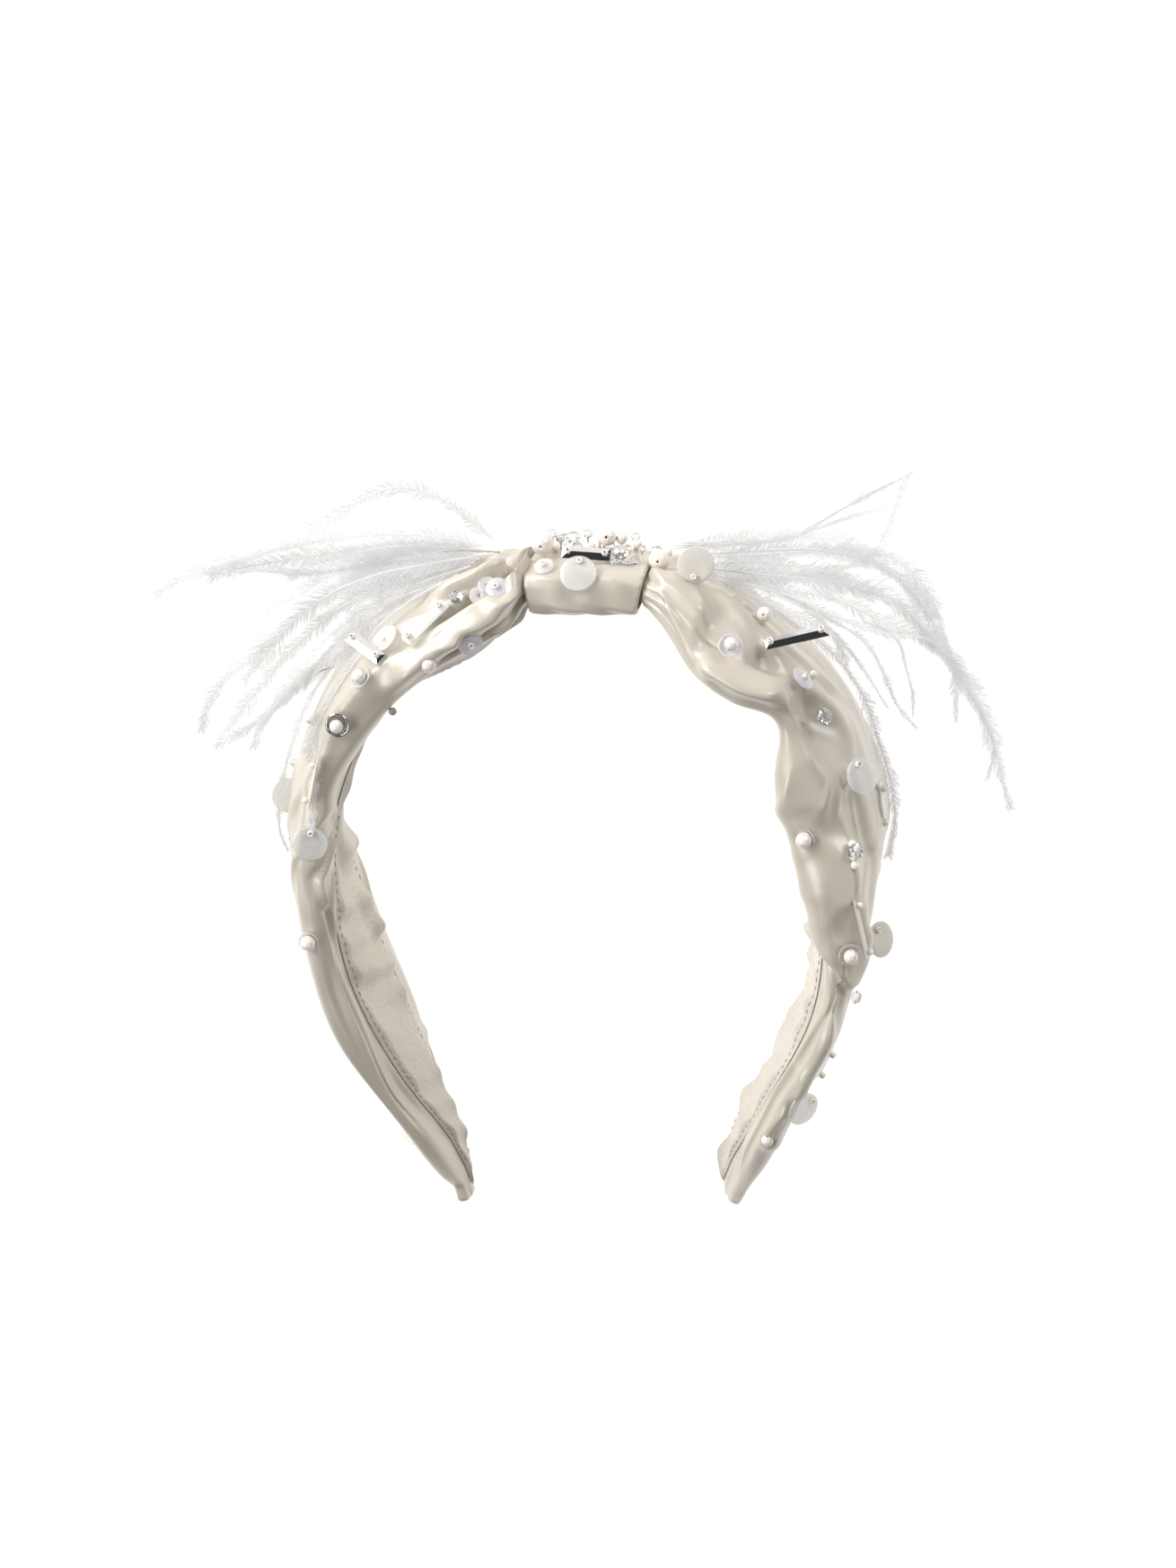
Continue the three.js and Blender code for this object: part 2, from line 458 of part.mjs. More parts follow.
// A row per trimming: its seat along and round the cover (or the wrap, or another
// trimming), its size, the way it reaches from its sewn end and, if it stands off its
// seat, the way it faces.
const OUTLOOK = [0.15, 0.37, 0.92];
const TRIMS = [
  { name: "paillette_wrap", kind: "paillette", look: "milky", on: "center_wrap", along: -0.8, degrees: 38, reach: [0, -1, 0.3] },
  { name: "paillette_crown_right", kind: "paillette", look: "ivory", along: 21.5, degrees: 72, reach: [0.1, 1, -0.4], faces: OUTLOOK },
  { name: "paillette_ear_right", kind: "paillette", look: "ivory", along: 110, degrees: 73, reach: [0.65, -0.76, 0], faces: [0.8, 0.27, 0.53] },
  { name: "paillette_ear_left", kind: "paillette", look: "ivory", along: -95, degrees: 114, reach: [-1, 0.15, 0], faces: OUTLOOK },
  { name: "paillette_temple_left", kind: "paillette", look: "clear", along: -93.5, degrees: -4, reach: [-0.1, -1, 0] },
  { name: "paillette_tip_left", kind: "paillette", look: "clear", along: -180, degrees: 112, reach: [-0.9, -0.5, 0], faces: OUTLOOK },
  { name: "paillette_tip_right", kind: "paillette", look: "milky", along: 152, degrees: 37, reach: [-0.54, -0.74, 0.39], faces: [0.69, -0.13, 0.71] },
  { name: "paillette_cheek_right", kind: "paillette", look: "clear", along: 71, degrees: 54, reach: [0.45, -0.85, 0.1], faces: [0.65, 0.42, 0.64] },
  { name: "paillette_edge_right", kind: "paillette", look: "milky", along: 85, degrees: 93, reach: [0.1, -1, 0] },
  { name: "sequin_lilac_left_1", kind: "sequin", look: "lilac", along: -18, degrees: 40, size: 5 },
  { name: "sequin_lilac_left_2", kind: "sequin", look: "lilac", along: -27, degrees: -15, size: 5.6 },
  { name: "sequin_lilac_right", kind: "sequin", look: "lilac", along: 50.5, degrees: 62, size: 5.6 },
  { name: "sequin_clear_wrap", kind: "sequin", look: "clear", on: "center_wrap", along: -8.2, degrees: 58, size: 4.4 },
  { name: "mirror_bar_wrap", kind: "bar", look: "mirror", on: "center_wrap", along: -3.6, degrees: 74, size: 10.6, reach: [1, 0.04, 0], faces: [0.1, 0.72, 0.69] },
  { name: "mirror_bar_right", kind: "bar", look: "mirror", along: 41, degrees: 63, size: 14, reach: [0.82, 0.47, -0.1], faces: [0.02, 0.86, 0.51] },
  { name: "mirror_bar_left", kind: "bar", look: "mirror", along: -46.2, degrees: 26, size: 10, reach: [-0.89, 0.39, -0.52], faces: [-0.1, 0.71, 0.7] },
  { name: "clear_bar_left", kind: "bar", look: "clear", along: -34, degrees: 37, size: 12, reach: [0.62, 0.66, -0.42] },
  { name: "clear_bar_right", kind: "bar", look: "clear", along: 149, degrees: 76, size: 8.4, reach: [0.5, 0.87, 0.1], faces: [0.9, -0.4, 0.3] },
  { name: "ivory_bar_left", kind: "bar", look: "ivory", along: -74, degrees: 0, size: 11, reach: [-0.2, -0.97, 0], faces: [-0.98, 0.2, 0.1] },
  { name: "ivory_bar_right", kind: "bar", look: "ivory", along: 100, degrees: 15, size: 13.6, reach: [0.25, -0.97, 0], faces: [0.96, 0.23, -0.1] },
  { name: "cup_mirror_left", kind: "cup", look: "mirror", along: -63, degrees: 1 },
  { name: "cup_lilac_right", kind: "cup", look: "lilac", along: 34.5, degrees: 24 },
  { name: "cup_clear_right", kind: "cup", look: "clear", along: 111.5, degrees: 13 },
  { name: "pearl_temple_left", kind: "pearl", look: "pearl", on: "cup_mirror_left", size: 3 },
  { name: "pearl_cup_right", kind: "pearl", look: "pearl", on: "cup_lilac_right", size: 3 },
  { name: "pearl_ear_right", kind: "pearl", look: "pearl", on: "cup_clear_right", size: 3.2 },
  { name: "pearl_crown_left_1", kind: "pearl", look: "pearl", along: -67, degrees: 46, size: 3 },
  { name: "pearl_crown_left_2", kind: "pearl", look: "pearl", along: -51.5, degrees: 17, size: 3 },
  { name: "pearl_crown_left_3", kind: "pearl", look: "pearl", along: -37.5, degrees: -11, size: 3.4 },
  { name: "pearl_ear_left", kind: "pearl", look: "pearl", along: -117, degrees: 2, size: 3.4 },
  { name: "pearl_wrap_left", kind: "pearl", look: "pearl", on: "center_wrap", along: -9.4, degrees: 90, size: 5 },
  { name: "pearl_wrap_rear", kind: "pearl", look: "pearl", on: "center_wrap", along: 2.6, degrees: 106, size: 4 },
  { name: "pearl_wrap_right", kind: "pearl", look: "pearl", along: 15, degrees: 82, size: 4.6 },
  { name: "pearl_crown_right_1", kind: "pearl", look: "pearl", along: 37, degrees: 84, size: 3.4 },
  { name: "pearl_cheek_right", kind: "pearl", look: "pearl", along: 83, degrees: -19, size: 3.6 },
  { name: "pearl_tip_right", kind: "pearl", look: "pearl", along: 166, degrees: 0, size: 2.8 },
  { name: "crystal_crown_left", kind: "crystal", look: "crystal", along: -26.5, degrees: 50, size: 3.4 },
  { name: "crystal_wrap_left", kind: "crystal", look: "crystal", on: "center_wrap", along: -6.5, degrees: 120, size: 3.6 },
  { name: "crystal_wrap_right", kind: "crystal", look: "crystal", on: "center_wrap", along: 6.4, degrees: 82, size: 4.2 },
  { name: "crystal_crown_right", kind: "crystal", look: "crystal", along: 58.5, degrees: 51, size: 4 },
  { name: "crystal_cheek_right", kind: "crystal", look: "crystal", along: 87.5, degrees: 21, size: 4 },
  { name: "crystal_ear_right", kind: "crystal", look: "crystal", along: 127, degrees: 74, size: 3.2 },
];

const pieceNamed = (name) => headband.children.find((piece) => piece.name === name);

function wrapSeat(along, degrees) {
  const angle = THREE.MathUtils.degToRad(degrees);
  const height = (WRAP.thickness / 2 + WRAP.fullness) * rounded(Math.sin(angle)) - WRAP.drop;
  const depth = MID_DEPTH + (WRAP.depth / 2 + WRAP.fullness) * rounded(Math.cos(angle));
  const point = bandPoint(along, height, depth);
  const out = bandPoint(along, height + Math.sin(angle), depth + Math.cos(angle));
  return { point, normal: out.sub(point).normalize() };
}

// Lifts a piece off what it sits on until its nearest spot has the sewing gap.
function settle(geometry, host, normal) {
  const ray = new THREE.Raycaster();
  const reach = 30;
  const at = geometry.getAttribute("position");
  const spots = [];
  for (let i = 0; i < at.count; i += 3) {
    const corners = [0, 1, 2].map((k) => new THREE.Vector3().fromBufferAttribute(at, i + k));
    const [a, b, c] = corners;
    spots.push(a, b, c, a.clone().lerp(b, 0.5), b.clone().lerp(c, 0.5), c.clone().lerp(a, 0.5));
  }
  let nearest = Infinity;
  for (const spot of spots) {
    ray.set(spot.clone().addScaledVector(normal, reach), normal.clone().negate());
    const [hit] = ray.intersectObject(host, false);
    if (hit) nearest = Math.min(nearest, hit.distance - reach);
  }
  const lift = GAP - nearest;
  geometry.translate(normal.x * lift, normal.y * lift, normal.z * lift);
}

const seats = {};
for (const trim of TRIMS) {
  const hostName = trim.on ?? "satin_cover";
  const seat =
    hostName === "center_wrap" ? wrapSeat(trim.along, trim.degrees)
    : seats[hostName] ?? coverSeat(trim.along, trim.degrees);
  const out = trim.faces ? new THREE.Vector3(...trim.faces).normalize() : seat.normal;
  const reach = new THREE.Vector3(...(trim.reach ?? [1, 0, 0]));
  reach.addScaledVector(out, -reach.dot(out)).normalize();
  const across = new THREE.Vector3().crossVectors(out, reach);
  const modelled = KINDS[trim.kind](trim.size);
  const geometry = modelled.getIndex() ? modelled.toNonIndexed() : modelled;
  geometry.deleteAttribute("normal");
  geometry.deleteAttribute("uv");
  if (trim.faces) geometry.translate(sewnInset(trim), 0, 0);
  geometry.applyMatrix4(new THREE.Matrix4().makeBasis(reach, across, out).setPosition(seat.point));
  settle(geometry, pieceNamed(hostName), seat.normal);
  seats[trim.name] = seat;
  addPiece(trim.name, mergeVertices(geometry, 1e-4), LOOKS[trim.look]);
}

// Set down with the middle of its footprint at the origin.
const extent = new THREE.Box3().setFromObject(headband);
const middle = extent.getCenter(new THREE.Vector3());
headband.position.set(-middle.x, -middle.y, -extent.min.z);

export default headband;
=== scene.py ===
"""Looks of the swan feather headband: folded satin, crepe lining, plumes of feather barbs
and sewn-on trimmings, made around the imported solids. Tables are in millimetres in the
band's own frame, whose origin is the middle of the crown's circle; meshes are in metres."""
import json
import math

import bpy
import numpy as np
from mathutils import Matrix, Vector


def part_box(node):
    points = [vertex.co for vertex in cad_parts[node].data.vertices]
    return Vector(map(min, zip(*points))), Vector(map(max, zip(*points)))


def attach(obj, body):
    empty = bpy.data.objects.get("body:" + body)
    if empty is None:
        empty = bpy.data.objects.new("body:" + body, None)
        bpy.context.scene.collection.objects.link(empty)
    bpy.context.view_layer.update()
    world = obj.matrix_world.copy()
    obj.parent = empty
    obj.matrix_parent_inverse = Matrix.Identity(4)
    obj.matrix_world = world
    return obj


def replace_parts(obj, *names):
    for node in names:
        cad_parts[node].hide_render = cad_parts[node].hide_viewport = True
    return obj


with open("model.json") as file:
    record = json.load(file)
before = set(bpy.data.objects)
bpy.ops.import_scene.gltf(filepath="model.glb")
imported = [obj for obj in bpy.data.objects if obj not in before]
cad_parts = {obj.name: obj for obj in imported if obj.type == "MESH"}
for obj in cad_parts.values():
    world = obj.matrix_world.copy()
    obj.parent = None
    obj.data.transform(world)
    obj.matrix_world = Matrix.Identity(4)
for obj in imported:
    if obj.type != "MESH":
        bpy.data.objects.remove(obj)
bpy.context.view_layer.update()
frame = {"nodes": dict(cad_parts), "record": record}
MM = 0.001

# The band's shape, as in the solids: X across the head, Y up it, Z from the rear edge to the front.
HALF_WIDTH = 61.0
CROWN_RISE = 59.5
EAR_HEIGHT = 5.0
TIPS = {-1: (-32.0, -94.0), 1: (32.5, -88.5)}
LEG_PULL = 37.0
TIP_PULL = (8.0, 27.0)
CROWN_EASE = {"reach": 21.0, "flatten": 0.006, "skew": 0.045}
MID_DEPTH = 19.0
CORNER = 0.7
LINE_STEPS = 801
LEAST_LENGTH = 1e-9

# A row per section along the middle line, counted from the crown: depth of the rear and the
# front edge, thickness toward each edge, and how far each edge stands inward.
COVER_COLUMNS = ("along", "rear_z", "front_z", "rear_thick", "front_thick", "front_in", "rear_in")
COVER_ROWS = [
    (-195, 1.2, 8.5, 3.8, 3.4, 0, 0),
    (-190, 0.2, 13, 5.2, 4.8, 0, 0.5),
    (-177, -0.4, 21, 5.4, 5.6, 0, 2.0),
    (-160, -0.6, 29, 6.0, 6.2, -1.4, 3.0),
    (-140, -0.6, 35, 6.5, 7.0, -1.8, 3.2),
    (-118, -0.8, 38, 7.0, 8.0, -1.0, 1.2),
    (-95, -1.0, 39, 7.0, 10.0, 1.0, -3.0),
    (-75, -1.0, 39, 8.0, 13.0, 1.4, -3.0),
    (-58, -1.0, 39, 8.0, 14.0, 2.4, -2.0),
    (-40, -0.5, 38, 8.5, 15.5, 3.0, 0),
    (-26, 3, 35, 8.5, 16.0, 3.5, 0),
    (-17, 6.5, 31.5, 7.5, 12.6, 2.5, 0),
    (-12.8, 10, 28, 5.0, 5.0, 0, 0),
    (0, 10, 28, 5.0, 5.0, 0, 0),
    (12.8, 10, 28, 5.0, 5.0, 0, 0),
    (17, 6, 32, 8.0, 9.5, 0.8, 0),
    (30, 1, 37, 8.5, 15.0, 3.8, 0),
    (42, -0.2, 39, 8.0, 14.5, 3.4, 0),
    (52, -1.0, 39.5, 8.0, 10.8, 1.3, 0),
    (62, -1.0, 39.5, 8.0, 14.5, 3.4, 0),
    (74, -1.0, 39.5, 8.0, 19.0, 5.2, 0),
    (90, -1.0, 39, 8.0, 17.0, 4.2, 0),
    (104, -0.8, 38.5, 7.5, 13.5, 2.6, 1.5),
    (118, -0.6, 37.5, 7.0, 9.5, 0.4, 2.4),
    (135, -0.6, 35, 6.5, 7.5, -0.8, 3.0),
    (158, -0.6, 29, 6.0, 6.4, 0, 3.5),
    (177, -0.4, 21, 5.8, 5.6, 0, 4.2),
    (190, 0.2, 13, 5.4, 4.8, 0, 2.4),
    (195, 1.2, 8.5, 4.0, 3.2, 0, 1.2),
]
COVER = dict(zip(COVER_COLUMNS, np.array(COVER_ROWS, float).T))

# Pleats and creases of the solid cover, a row per fold: the stretch it runs, the share of it
# where the fold is highest, where it starts round the section in degrees (0 front edge, 90
# outside, 180 rear edge), how far it drifts, its height and its breadth in degrees.
FOLDS = [
    (-66, -13, 0.8, 0, 12, 2.0, 15),
    (-58, -13, 0.8, 32, 6, -2.2, 12),
    (-46, -13, 0.8, 68, 6, 1.8, 11),
    (-42, -13, 0.8, 90, 0, -1.6, 9),
    (-48, -13, 0.8, 110, 0, 1.6, 10),
    (-44, -13, 0.8, 132, 0, -1.3, 10),
    (-44, -13, 0.8, 154, 0, 1.2, 11),
    (-88, -44, 0.5, -16, 32, 0.9, 11),
    (-184, -96, 0.5, -40, 0, -1.1, 12),
    (13, 36, 0.25, 74, 6, 1.4, 11),
    (13, 46, 0.25, 126, 0, 1.4, 12),
    (13, 40, 0.25, 100, 0, -1.4, 11),
    (18, 52, 0.6, 94, -32, 1.3, 10),
    (44, 76, 0.5, 58, 36, 1.3, 10),
    (28, 54, 0.5, -8, 2, -1.2, 10),
    (28, 56, 0.5, 24, 0, 1.4, 16),
    (50, 76, 0.5, 34, 0, -1.7, 18),
    (64, 84, 0.5, 88, -100, 1.1, 15),
    (96, 120, 0.5, 30, 24, 0.9, 10),
    (106, 132, 0.6, 4, 34, -1.5, 13),
    (112, 180, 0.5, -40, 0, -0.9, 12),
]


def smooth_step(value, low, high):
    share = np.clip((value - low) / (high - low), 0, 1)
    return share * share * (3 - 2 * share)


def rounded(value, corner=CORNER):
    return np.sign(value) * np.abs(value) ** corner


def unit(vectors):
    return vectors / np.maximum(np.linalg.norm(vectors, axis=-1, keepdims=True), LEAST_LENGTH)


def round_angles(sides):
    return np.linspace(0, 2 * math.pi, sides, endpoint=False)


def run_along(points):
    """Distance passed at each point of a line."""
    return np.concatenate([[0], np.cumsum(np.linalg.norm(np.diff(points, axis=0), axis=1))])


def at_run(points, run, places):
    """Points of a line at some distances along it."""
    return np.stack([np.interp(places, run, column) for column in points.T], -1)


def smooth_curve(at, values, slopes, places):
    """Values at some places of a smooth curve through rows with the given slopes."""
    i = np.clip(np.searchsorted(at, places, side="right") - 1, 0, len(at) - 2)
    span = at[i + 1] - at[i]
    t = np.clip((places - at[i]) / span, 0, 1)
    u = 1 - t
    ends = values[i] * u * u * (1 + 2 * t) + values[i + 1] * t * t * (1 + 2 * u)
    return ends + span * t * u * (slopes[i] * u - slopes[i + 1] * t)


def middle_line():
    """Points of the middle line, the way ahead at each, and its distance from the crown."""
    t = np.linspace(0, 1, LINE_STEPS)[:, None]

    def leg(side):
        tip = np.array(TIPS[side])
        ear = np.array([side * HALF_WIDTH, EAR_HEIGHT])
        cheek = ear - np.array([0, LEG_PULL])
        jaw = tip + np.array([side * TIP_PULL[0], TIP_PULL[1]])
        return (1 - t) ** 3 * ear + 3 * (1 - t) ** 2 * t * cheek + 3 * (1 - t) * t**2 * jaw + t**3 * tip

    turn = math.pi * (1 - t)
    crown = np.hstack([HALF_WIDTH * np.cos(turn), EAR_HEIGHT + CROWN_RISE * np.sin(turn)])
    points = np.vstack([leg(-1)[::-1], crown[1:-1], leg(1)])
    run = run_along(points)
    ahead = unit(np.gradient(points, run, axis=0))
    return points, ahead, run - run[points[:, 1].argmax()]


LINE, LINE_AHEAD, LINE_AT = middle_line()


def cover_at(column, along):
    """A column of the cover's table, smoothed between its rows."""
    at, values = COVER["along"], COVER[column]
    rows = np.arange(len(at))
    before, after = np.maximum(rows - 1, 0), np.minimum(rows + 1, len(at) - 1)
    slopes = (values[after] - values[before]) / (at[after] - at[before])
    return smooth_curve(at, values, slopes, along)


def fold_height(along, degrees):
    height = np.zeros(np.broadcast(along, degrees).shape)
    for start, end, peak, at, drift, rise, breadth in FOLDS:
        run = np.clip((along - start) / (end - start), 0, 1)
        away = (degrees - at - drift * run + 180) % 360 - 180
        swell = smooth_step(run, 0, peak) - smooth_step(run, peak, 1)
        height += rise * swell * np.exp(-((away / breadth) ** 2))
    return height


def crown_ease(along):
    grip = np.exp(-((along / CROWN_EASE["reach"]) ** 4))
    return grip * (CROWN_EASE["flatten"] * along**2 + CROWN_EASE["skew"] * along)


def band_point(along, height, depth):
    """Points given by their place along the middle line, height off it and depth."""
    along, height, depth = np.broadcast_arrays(along, height, depth)
    x, y = (np.interp(along, LINE_AT, LINE[:, k]) for k in (0, 1))
    ahead_x, ahead_y = (np.interp(along, LINE_AT, LINE_AHEAD[:, k]) for k in (0, 1))
    off = height + crown_ease(along)
    return np.stack([x - ahead_y * off, y + ahead_x * off, depth], -1)


def cover_place(along, degrees):
    """Height off the middle line and depth of the cover's surface."""
    angle = np.radians(degrees)
    to_front = rounded(np.cos(angle))
    forward = smooth_step(to_front, -1, 1)

    def mix(rear, front):
        return cover_at(rear, along) * (1 - forward) + cover_at(front, along) * forward

    height = mix("rear_thick", "front_thick") / 2 * rounded(np.sin(angle)) - mix("rear_in", "front_in")
    height = height + fold_height(along, degrees)
    rear = cover_at("rear_z", along)
    depth = rear + (cover_at("front_z", along) - rear) * (1 + to_front) / 2
    return height, np.maximum(depth, 0)


def cover_point(along, degrees):
    height, depth = cover_place(along, degrees)
    return band_point(along, height, depth)


# The sections that tell where the band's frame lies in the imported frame, and the step round them.
ORIGIN_SECTIONS = 200
ORIGIN_DEGREES = 5


def band_origin():
    along = np.linspace(LINE_AT[0], LINE_AT[-1], ORIGIN_SECTIONS)[:, None]
    points = cover_point(along, np.arange(0, 360, ORIGIN_DEGREES)[None, :]).reshape(-1, 3)
    low, high = (np.array(corner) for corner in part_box("satin_cover"))
    middle = (low + high) / 2 - (points.min(0) + points.max(0)) / 2 * MM
    return np.array([middle[0], middle[1], 0.0])


ORIGIN = band_origin()


def to_frame(points):
    """Millimetres in the band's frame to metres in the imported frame."""
    return np.asarray(points) * MM + ORIGIN


# The photograph's view: the way to the viewer, the picture's right and up, and the spot of the
# band that the picture is pinned at.
TILT = math.radians(22)
TURN = math.radians(9.5)
TO_VIEWER = np.array([math.sin(TURN) * math.cos(TILT), math.sin(TILT), math.cos(TURN) * math.cos(TILT)])
RIGHT = np.array([math.cos(TURN), 0, -math.sin(TURN)])
UP = np.cross(TO_VIEWER, RIGHT)
PIVOT = np.array([0, 0, MID_DEPTH])
VIEW_DISTANCE = 900.0


def seen_at(across, up, depth):
    """The points that the picture shows across and up from the pivot, at some depth."""
    eye = PIVOT + TO_VIEWER * VIEW_DISTANCE
    aim = PIVOT + np.multiply.outer(across, RIGHT) + np.multiply.outer(up, UP)
    share = (depth - eye[2]) / (aim[..., 2] - eye[2])
    return eye + (aim - eye) * share[..., None]


# Materials.
class Wire:
    """A value in a material. Maths on it adds Math nodes."""

    def __init__(self, tree, socket):
        self.tree = tree
        self.socket = socket

    def maths(self, operation, first, second):
        node = self.tree.nodes.new("ShaderNodeMath")
        node.operation = operation
        for slot, value in zip(node.inputs, (first, second)):
            plug(self.tree, slot, value)
        return Wire(self.tree, node.outputs[0])

    def __add__(self, other):
        return self.maths("ADD", self, other)

    def __mul__(self, other):
        return self.maths("MULTIPLY", self, other)

    __radd__ = __add__
    __rmul__ = __mul__


def plug(tree, slot, value):
    if isinstance(value, Wire):
        tree.links.new(value.socket, slot)
    elif slot.type == "RGBA" and len(value) == 3:
        slot.default_value = (*value, 1.0)
    else:
        slot.default_value = value


class Finish:
    """A material around one Principled shader."""

    def __init__(self, name, sockets):
        self.material = bpy.data.materials.new(name)
        self.material.use_nodes = True
        self.tree = self.material.node_tree
        self.shader = self.tree.nodes["Principled BSDF"]
        self.set(sockets)

    def set(self, sockets):
        for key, value in sockets.items():
            plug(self.tree, self.shader.inputs[key], value)

    def node(self, kind, settings, sockets, output=0):
        """Any other node: its settings come first, then its sockets' values or links."""
        made = self.tree.nodes.new(kind)
        for key, value in settings.items():
            setattr(made, key, value)
        for key, value in sockets.items():
            plug(self.tree, made.inputs[key], value)
        return Wire(self.tree, made.outputs[output])

    def cloth_place(self):
        """Metres along and across the cloth."""
        return self.node("ShaderNodeUVMap", {"uv_map": "cloth"}, {})

    def place(self):
        return self.node("ShaderNodeTexCoord", {}, {}, output="Object")

    def stretched(self, place, scale):
        return self.node("ShaderNodeMapping", {}, {"Vector": place, "Scale": scale})

    def noise(self, place, scale, detail=3.0, roughness=0.5):
        sockets = {"Vector": place, "Scale": scale, "Detail": detail, "Roughness": roughness}
        return self.node("ShaderNodeTexNoise", {}, sockets)

    def clear_step(self, value, low, high):
        return self.node("ShaderNodeMapRange", {"interpolation_type": "SMOOTHSTEP"},
                         {"Value": value, "From Min": low, "From Max": high})

    def blend(self, mask, first, second):
        sockets = {0: mask, 6: first, 7: second}
        return self.node("ShaderNodeMix", {"data_type": "RGBA"}, sockets, output=2)

    def bump(self, height, strength, distance):
        sockets = {"Height": height, "Strength": strength, "Distance": distance}
        return self.node("ShaderNodeBump", {}, sockets)

    def let_light_through(self, share, colour):
        """Mixes in the light that a thin piece passes on from behind."""
        front = Wire(self.tree, self.shader.outputs[0])
        behind = self.node("ShaderNodeBsdfTranslucent", {}, {"Color": colour})
        mixed = self.node("ShaderNodeMixShader", {}, {0: share, 1: front, 2: behind})
        plug(self.tree, self.tree.nodes["Material Output"].inputs["Surface"], mixed)


def satin():
    """Glossy ivory satin: fine warp floats, faint slubs, small dents and a tone that wanders."""
    finish = Finish("satin", {"Specular IOR Level": 0.9, "Sheen Weight": 0.25, "Sheen Roughness": 0.4,
                              "Coat Weight": 0.5, "Coat Roughness": 0.3})
    cloth = finish.cloth_place()
    slubs = finish.noise(finish.stretched(cloth, (90, 3200, 1)), 1.0, detail=2.0)
    floats = finish.noise(finish.stretched(cloth, (1500, 5200, 1)), 1.0, detail=1.0)
    cloud = finish.noise(finish.place(), 55.0, detail=4.0)
    crush = finish.noise(finish.place(), 170.0, detail=5.0, roughness=0.55)
    finish.set({
        "Base Color": finish.blend(cloud * 0.7 + slubs * 0.3, (0.50, 0.448, 0.364), (0.63, 0.573, 0.484)),
        "Roughness": 0.3 + 0.12 * cloud + 0.06 * slubs,
        "Normal": finish.bump(3.0 * crush + 0.5 * slubs + 0.3 * floats, 0.3, 0.00016),
    })
    return finish.material


def crepe():
    """Matte ivory crepe: a pebbled grain of twisted yarns."""
    finish = Finish("crepe", {"Specular IOR Level": 0.25, "Sheen Weight": 0.2, "Sheen Roughness": 0.6})
    cloth = finish.cloth_place()
    grain = finish.noise(finish.stretched(cloth, (1100, 1500, 1)), 1.0, detail=3.0, roughness=0.7)
    cloud = finish.noise(finish.place(), 70.0, detail=3.0)
    pebbles = finish.clear_step(grain, 0.35, 0.65)
    finish.set({
        "Base Color": finish.blend(0.5 * cloud + 0.5 * pebbles, (0.60, 0.555, 0.48), (0.75, 0.705, 0.63)),
        "Roughness": 0.74 + 0.16 * pebbles,
        "Normal": finish.bump(pebbles, 0.5, 0.00018),
    })
    return finish.material


def wandering(name, scale, detail, tones, gloss, sockets, stretch=None):
    """A finish whose tone and roughness wander together, between two tones, from the least
    roughness up by some more."""
    finish = Finish(name, sockets)
    place = finish.place()
    if stretch:
        place = finish.stretched(place, stretch)
    cloud = finish.noise(place, scale, detail)
    least, more = gloss
    finish.set({"Base Color": finish.blend(cloud, *tones), "Roughness": least + more * cloud})
    return finish


def plastic(name, dark, pale, roughness, sockets):
    """Moulded sequin plastic with faint flow marks and rubbed spots."""
    finish = Finish(name, sockets)
    flow = finish.noise(finish.place(), 420.0, detail=3.0)
    rubbed = finish.clear_step(finish.noise(finish.place(), 1500.0, detail=4.0), 0.45, 0.75)
    finish.set({
        "Base Color": finish.blend(flow, dark, pale),
        "Roughness": roughness + 0.14 * rubbed,
    })
    return finish.material


# The barbs glow faintly (Emission Strength 0.18). This is painted light: it lifts the shade of the dense
# inner strands toward the brightness of the outer ones.
def feather_barbs():
    finish = wandering("feather_barbs", 160.0, 2.0, ((0.62, 0.62, 0.62), (0.72, 0.72, 0.715)), (0.5, 0.2),
                       {"Specular IOR Level": 0.35, "Sheen Weight": 0.3, "Sheen Roughness": 0.4,
                        "Emission Color": (1, 1, 1), "Emission Strength": 0.18})
    finish.let_light_through(0.5, (0.74, 0.74, 0.745))
    return finish.material


SATIN = satin()
CREPE = crepe()
BARBS = feather_barbs()
SHAFTS = wandering("feather_shafts", 240.0, 2.0, ((0.78, 0.78, 0.78), (0.90, 0.90, 0.90)), (0.35, 0.2),
                   {"Specular IOR Level": 0.5}).material
QUILL = wandering("bare_quill", 300.0, 2.0, ((0.20, 0.18, 0.16), (0.38, 0.35, 0.32)), (0.3, 0.2),
                  {"Specular IOR Level": 0.5}).material
MIRROR = wandering("mirror", 1.0, 3.0, ((0.62, 0.63, 0.64), (0.80, 0.80, 0.79)), (0.03, 0.09),
                   {"Metallic": 1.0}, stretch=(900, 2600, 900)).material
PEARL = wandering("pearl", 700.0, 3.0, ((0.80, 0.71, 0.63), (0.93, 0.88, 0.83)), (0.2, 0.1),
                  {"Coat Weight": 0.7, "Coat Roughness": 0.08, "Subsurface Weight": 0.15,
                   "Subsurface Radius": (0.8, 0.6, 0.5), "Subsurface Scale": 0.001,
                   "Thin Film Thickness": 380.0, "Thin Film IOR": 1.5}).material
CRYSTAL = wandering("crystal", 900.0, 2.0, ((0.93, 0.94, 0.95), (0.99, 0.99, 0.99)), (0.01, 0.03),
                    {"Transmission Weight": 0.92, "IOR": 1.62}).material
THREAD = wandering("thread", 2600.0, 2.0, ((0.42, 0.37, 0.29), (0.66, 0.60, 0.51)), (0.6, 0.2),
                   {"Specular IOR Level": 0.3}).material
MILKY = plastic("milky_sequin", (0.72, 0.70, 0.65), (0.84, 0.82, 0.78), 0.22,
                {"Alpha": 0.5, "Coat Weight": 0.3})
IVORY = plastic("ivory_sequin", (0.60, 0.56, 0.50), (0.70, 0.66, 0.60), 0.3, {"Coat Weight": 0.2})
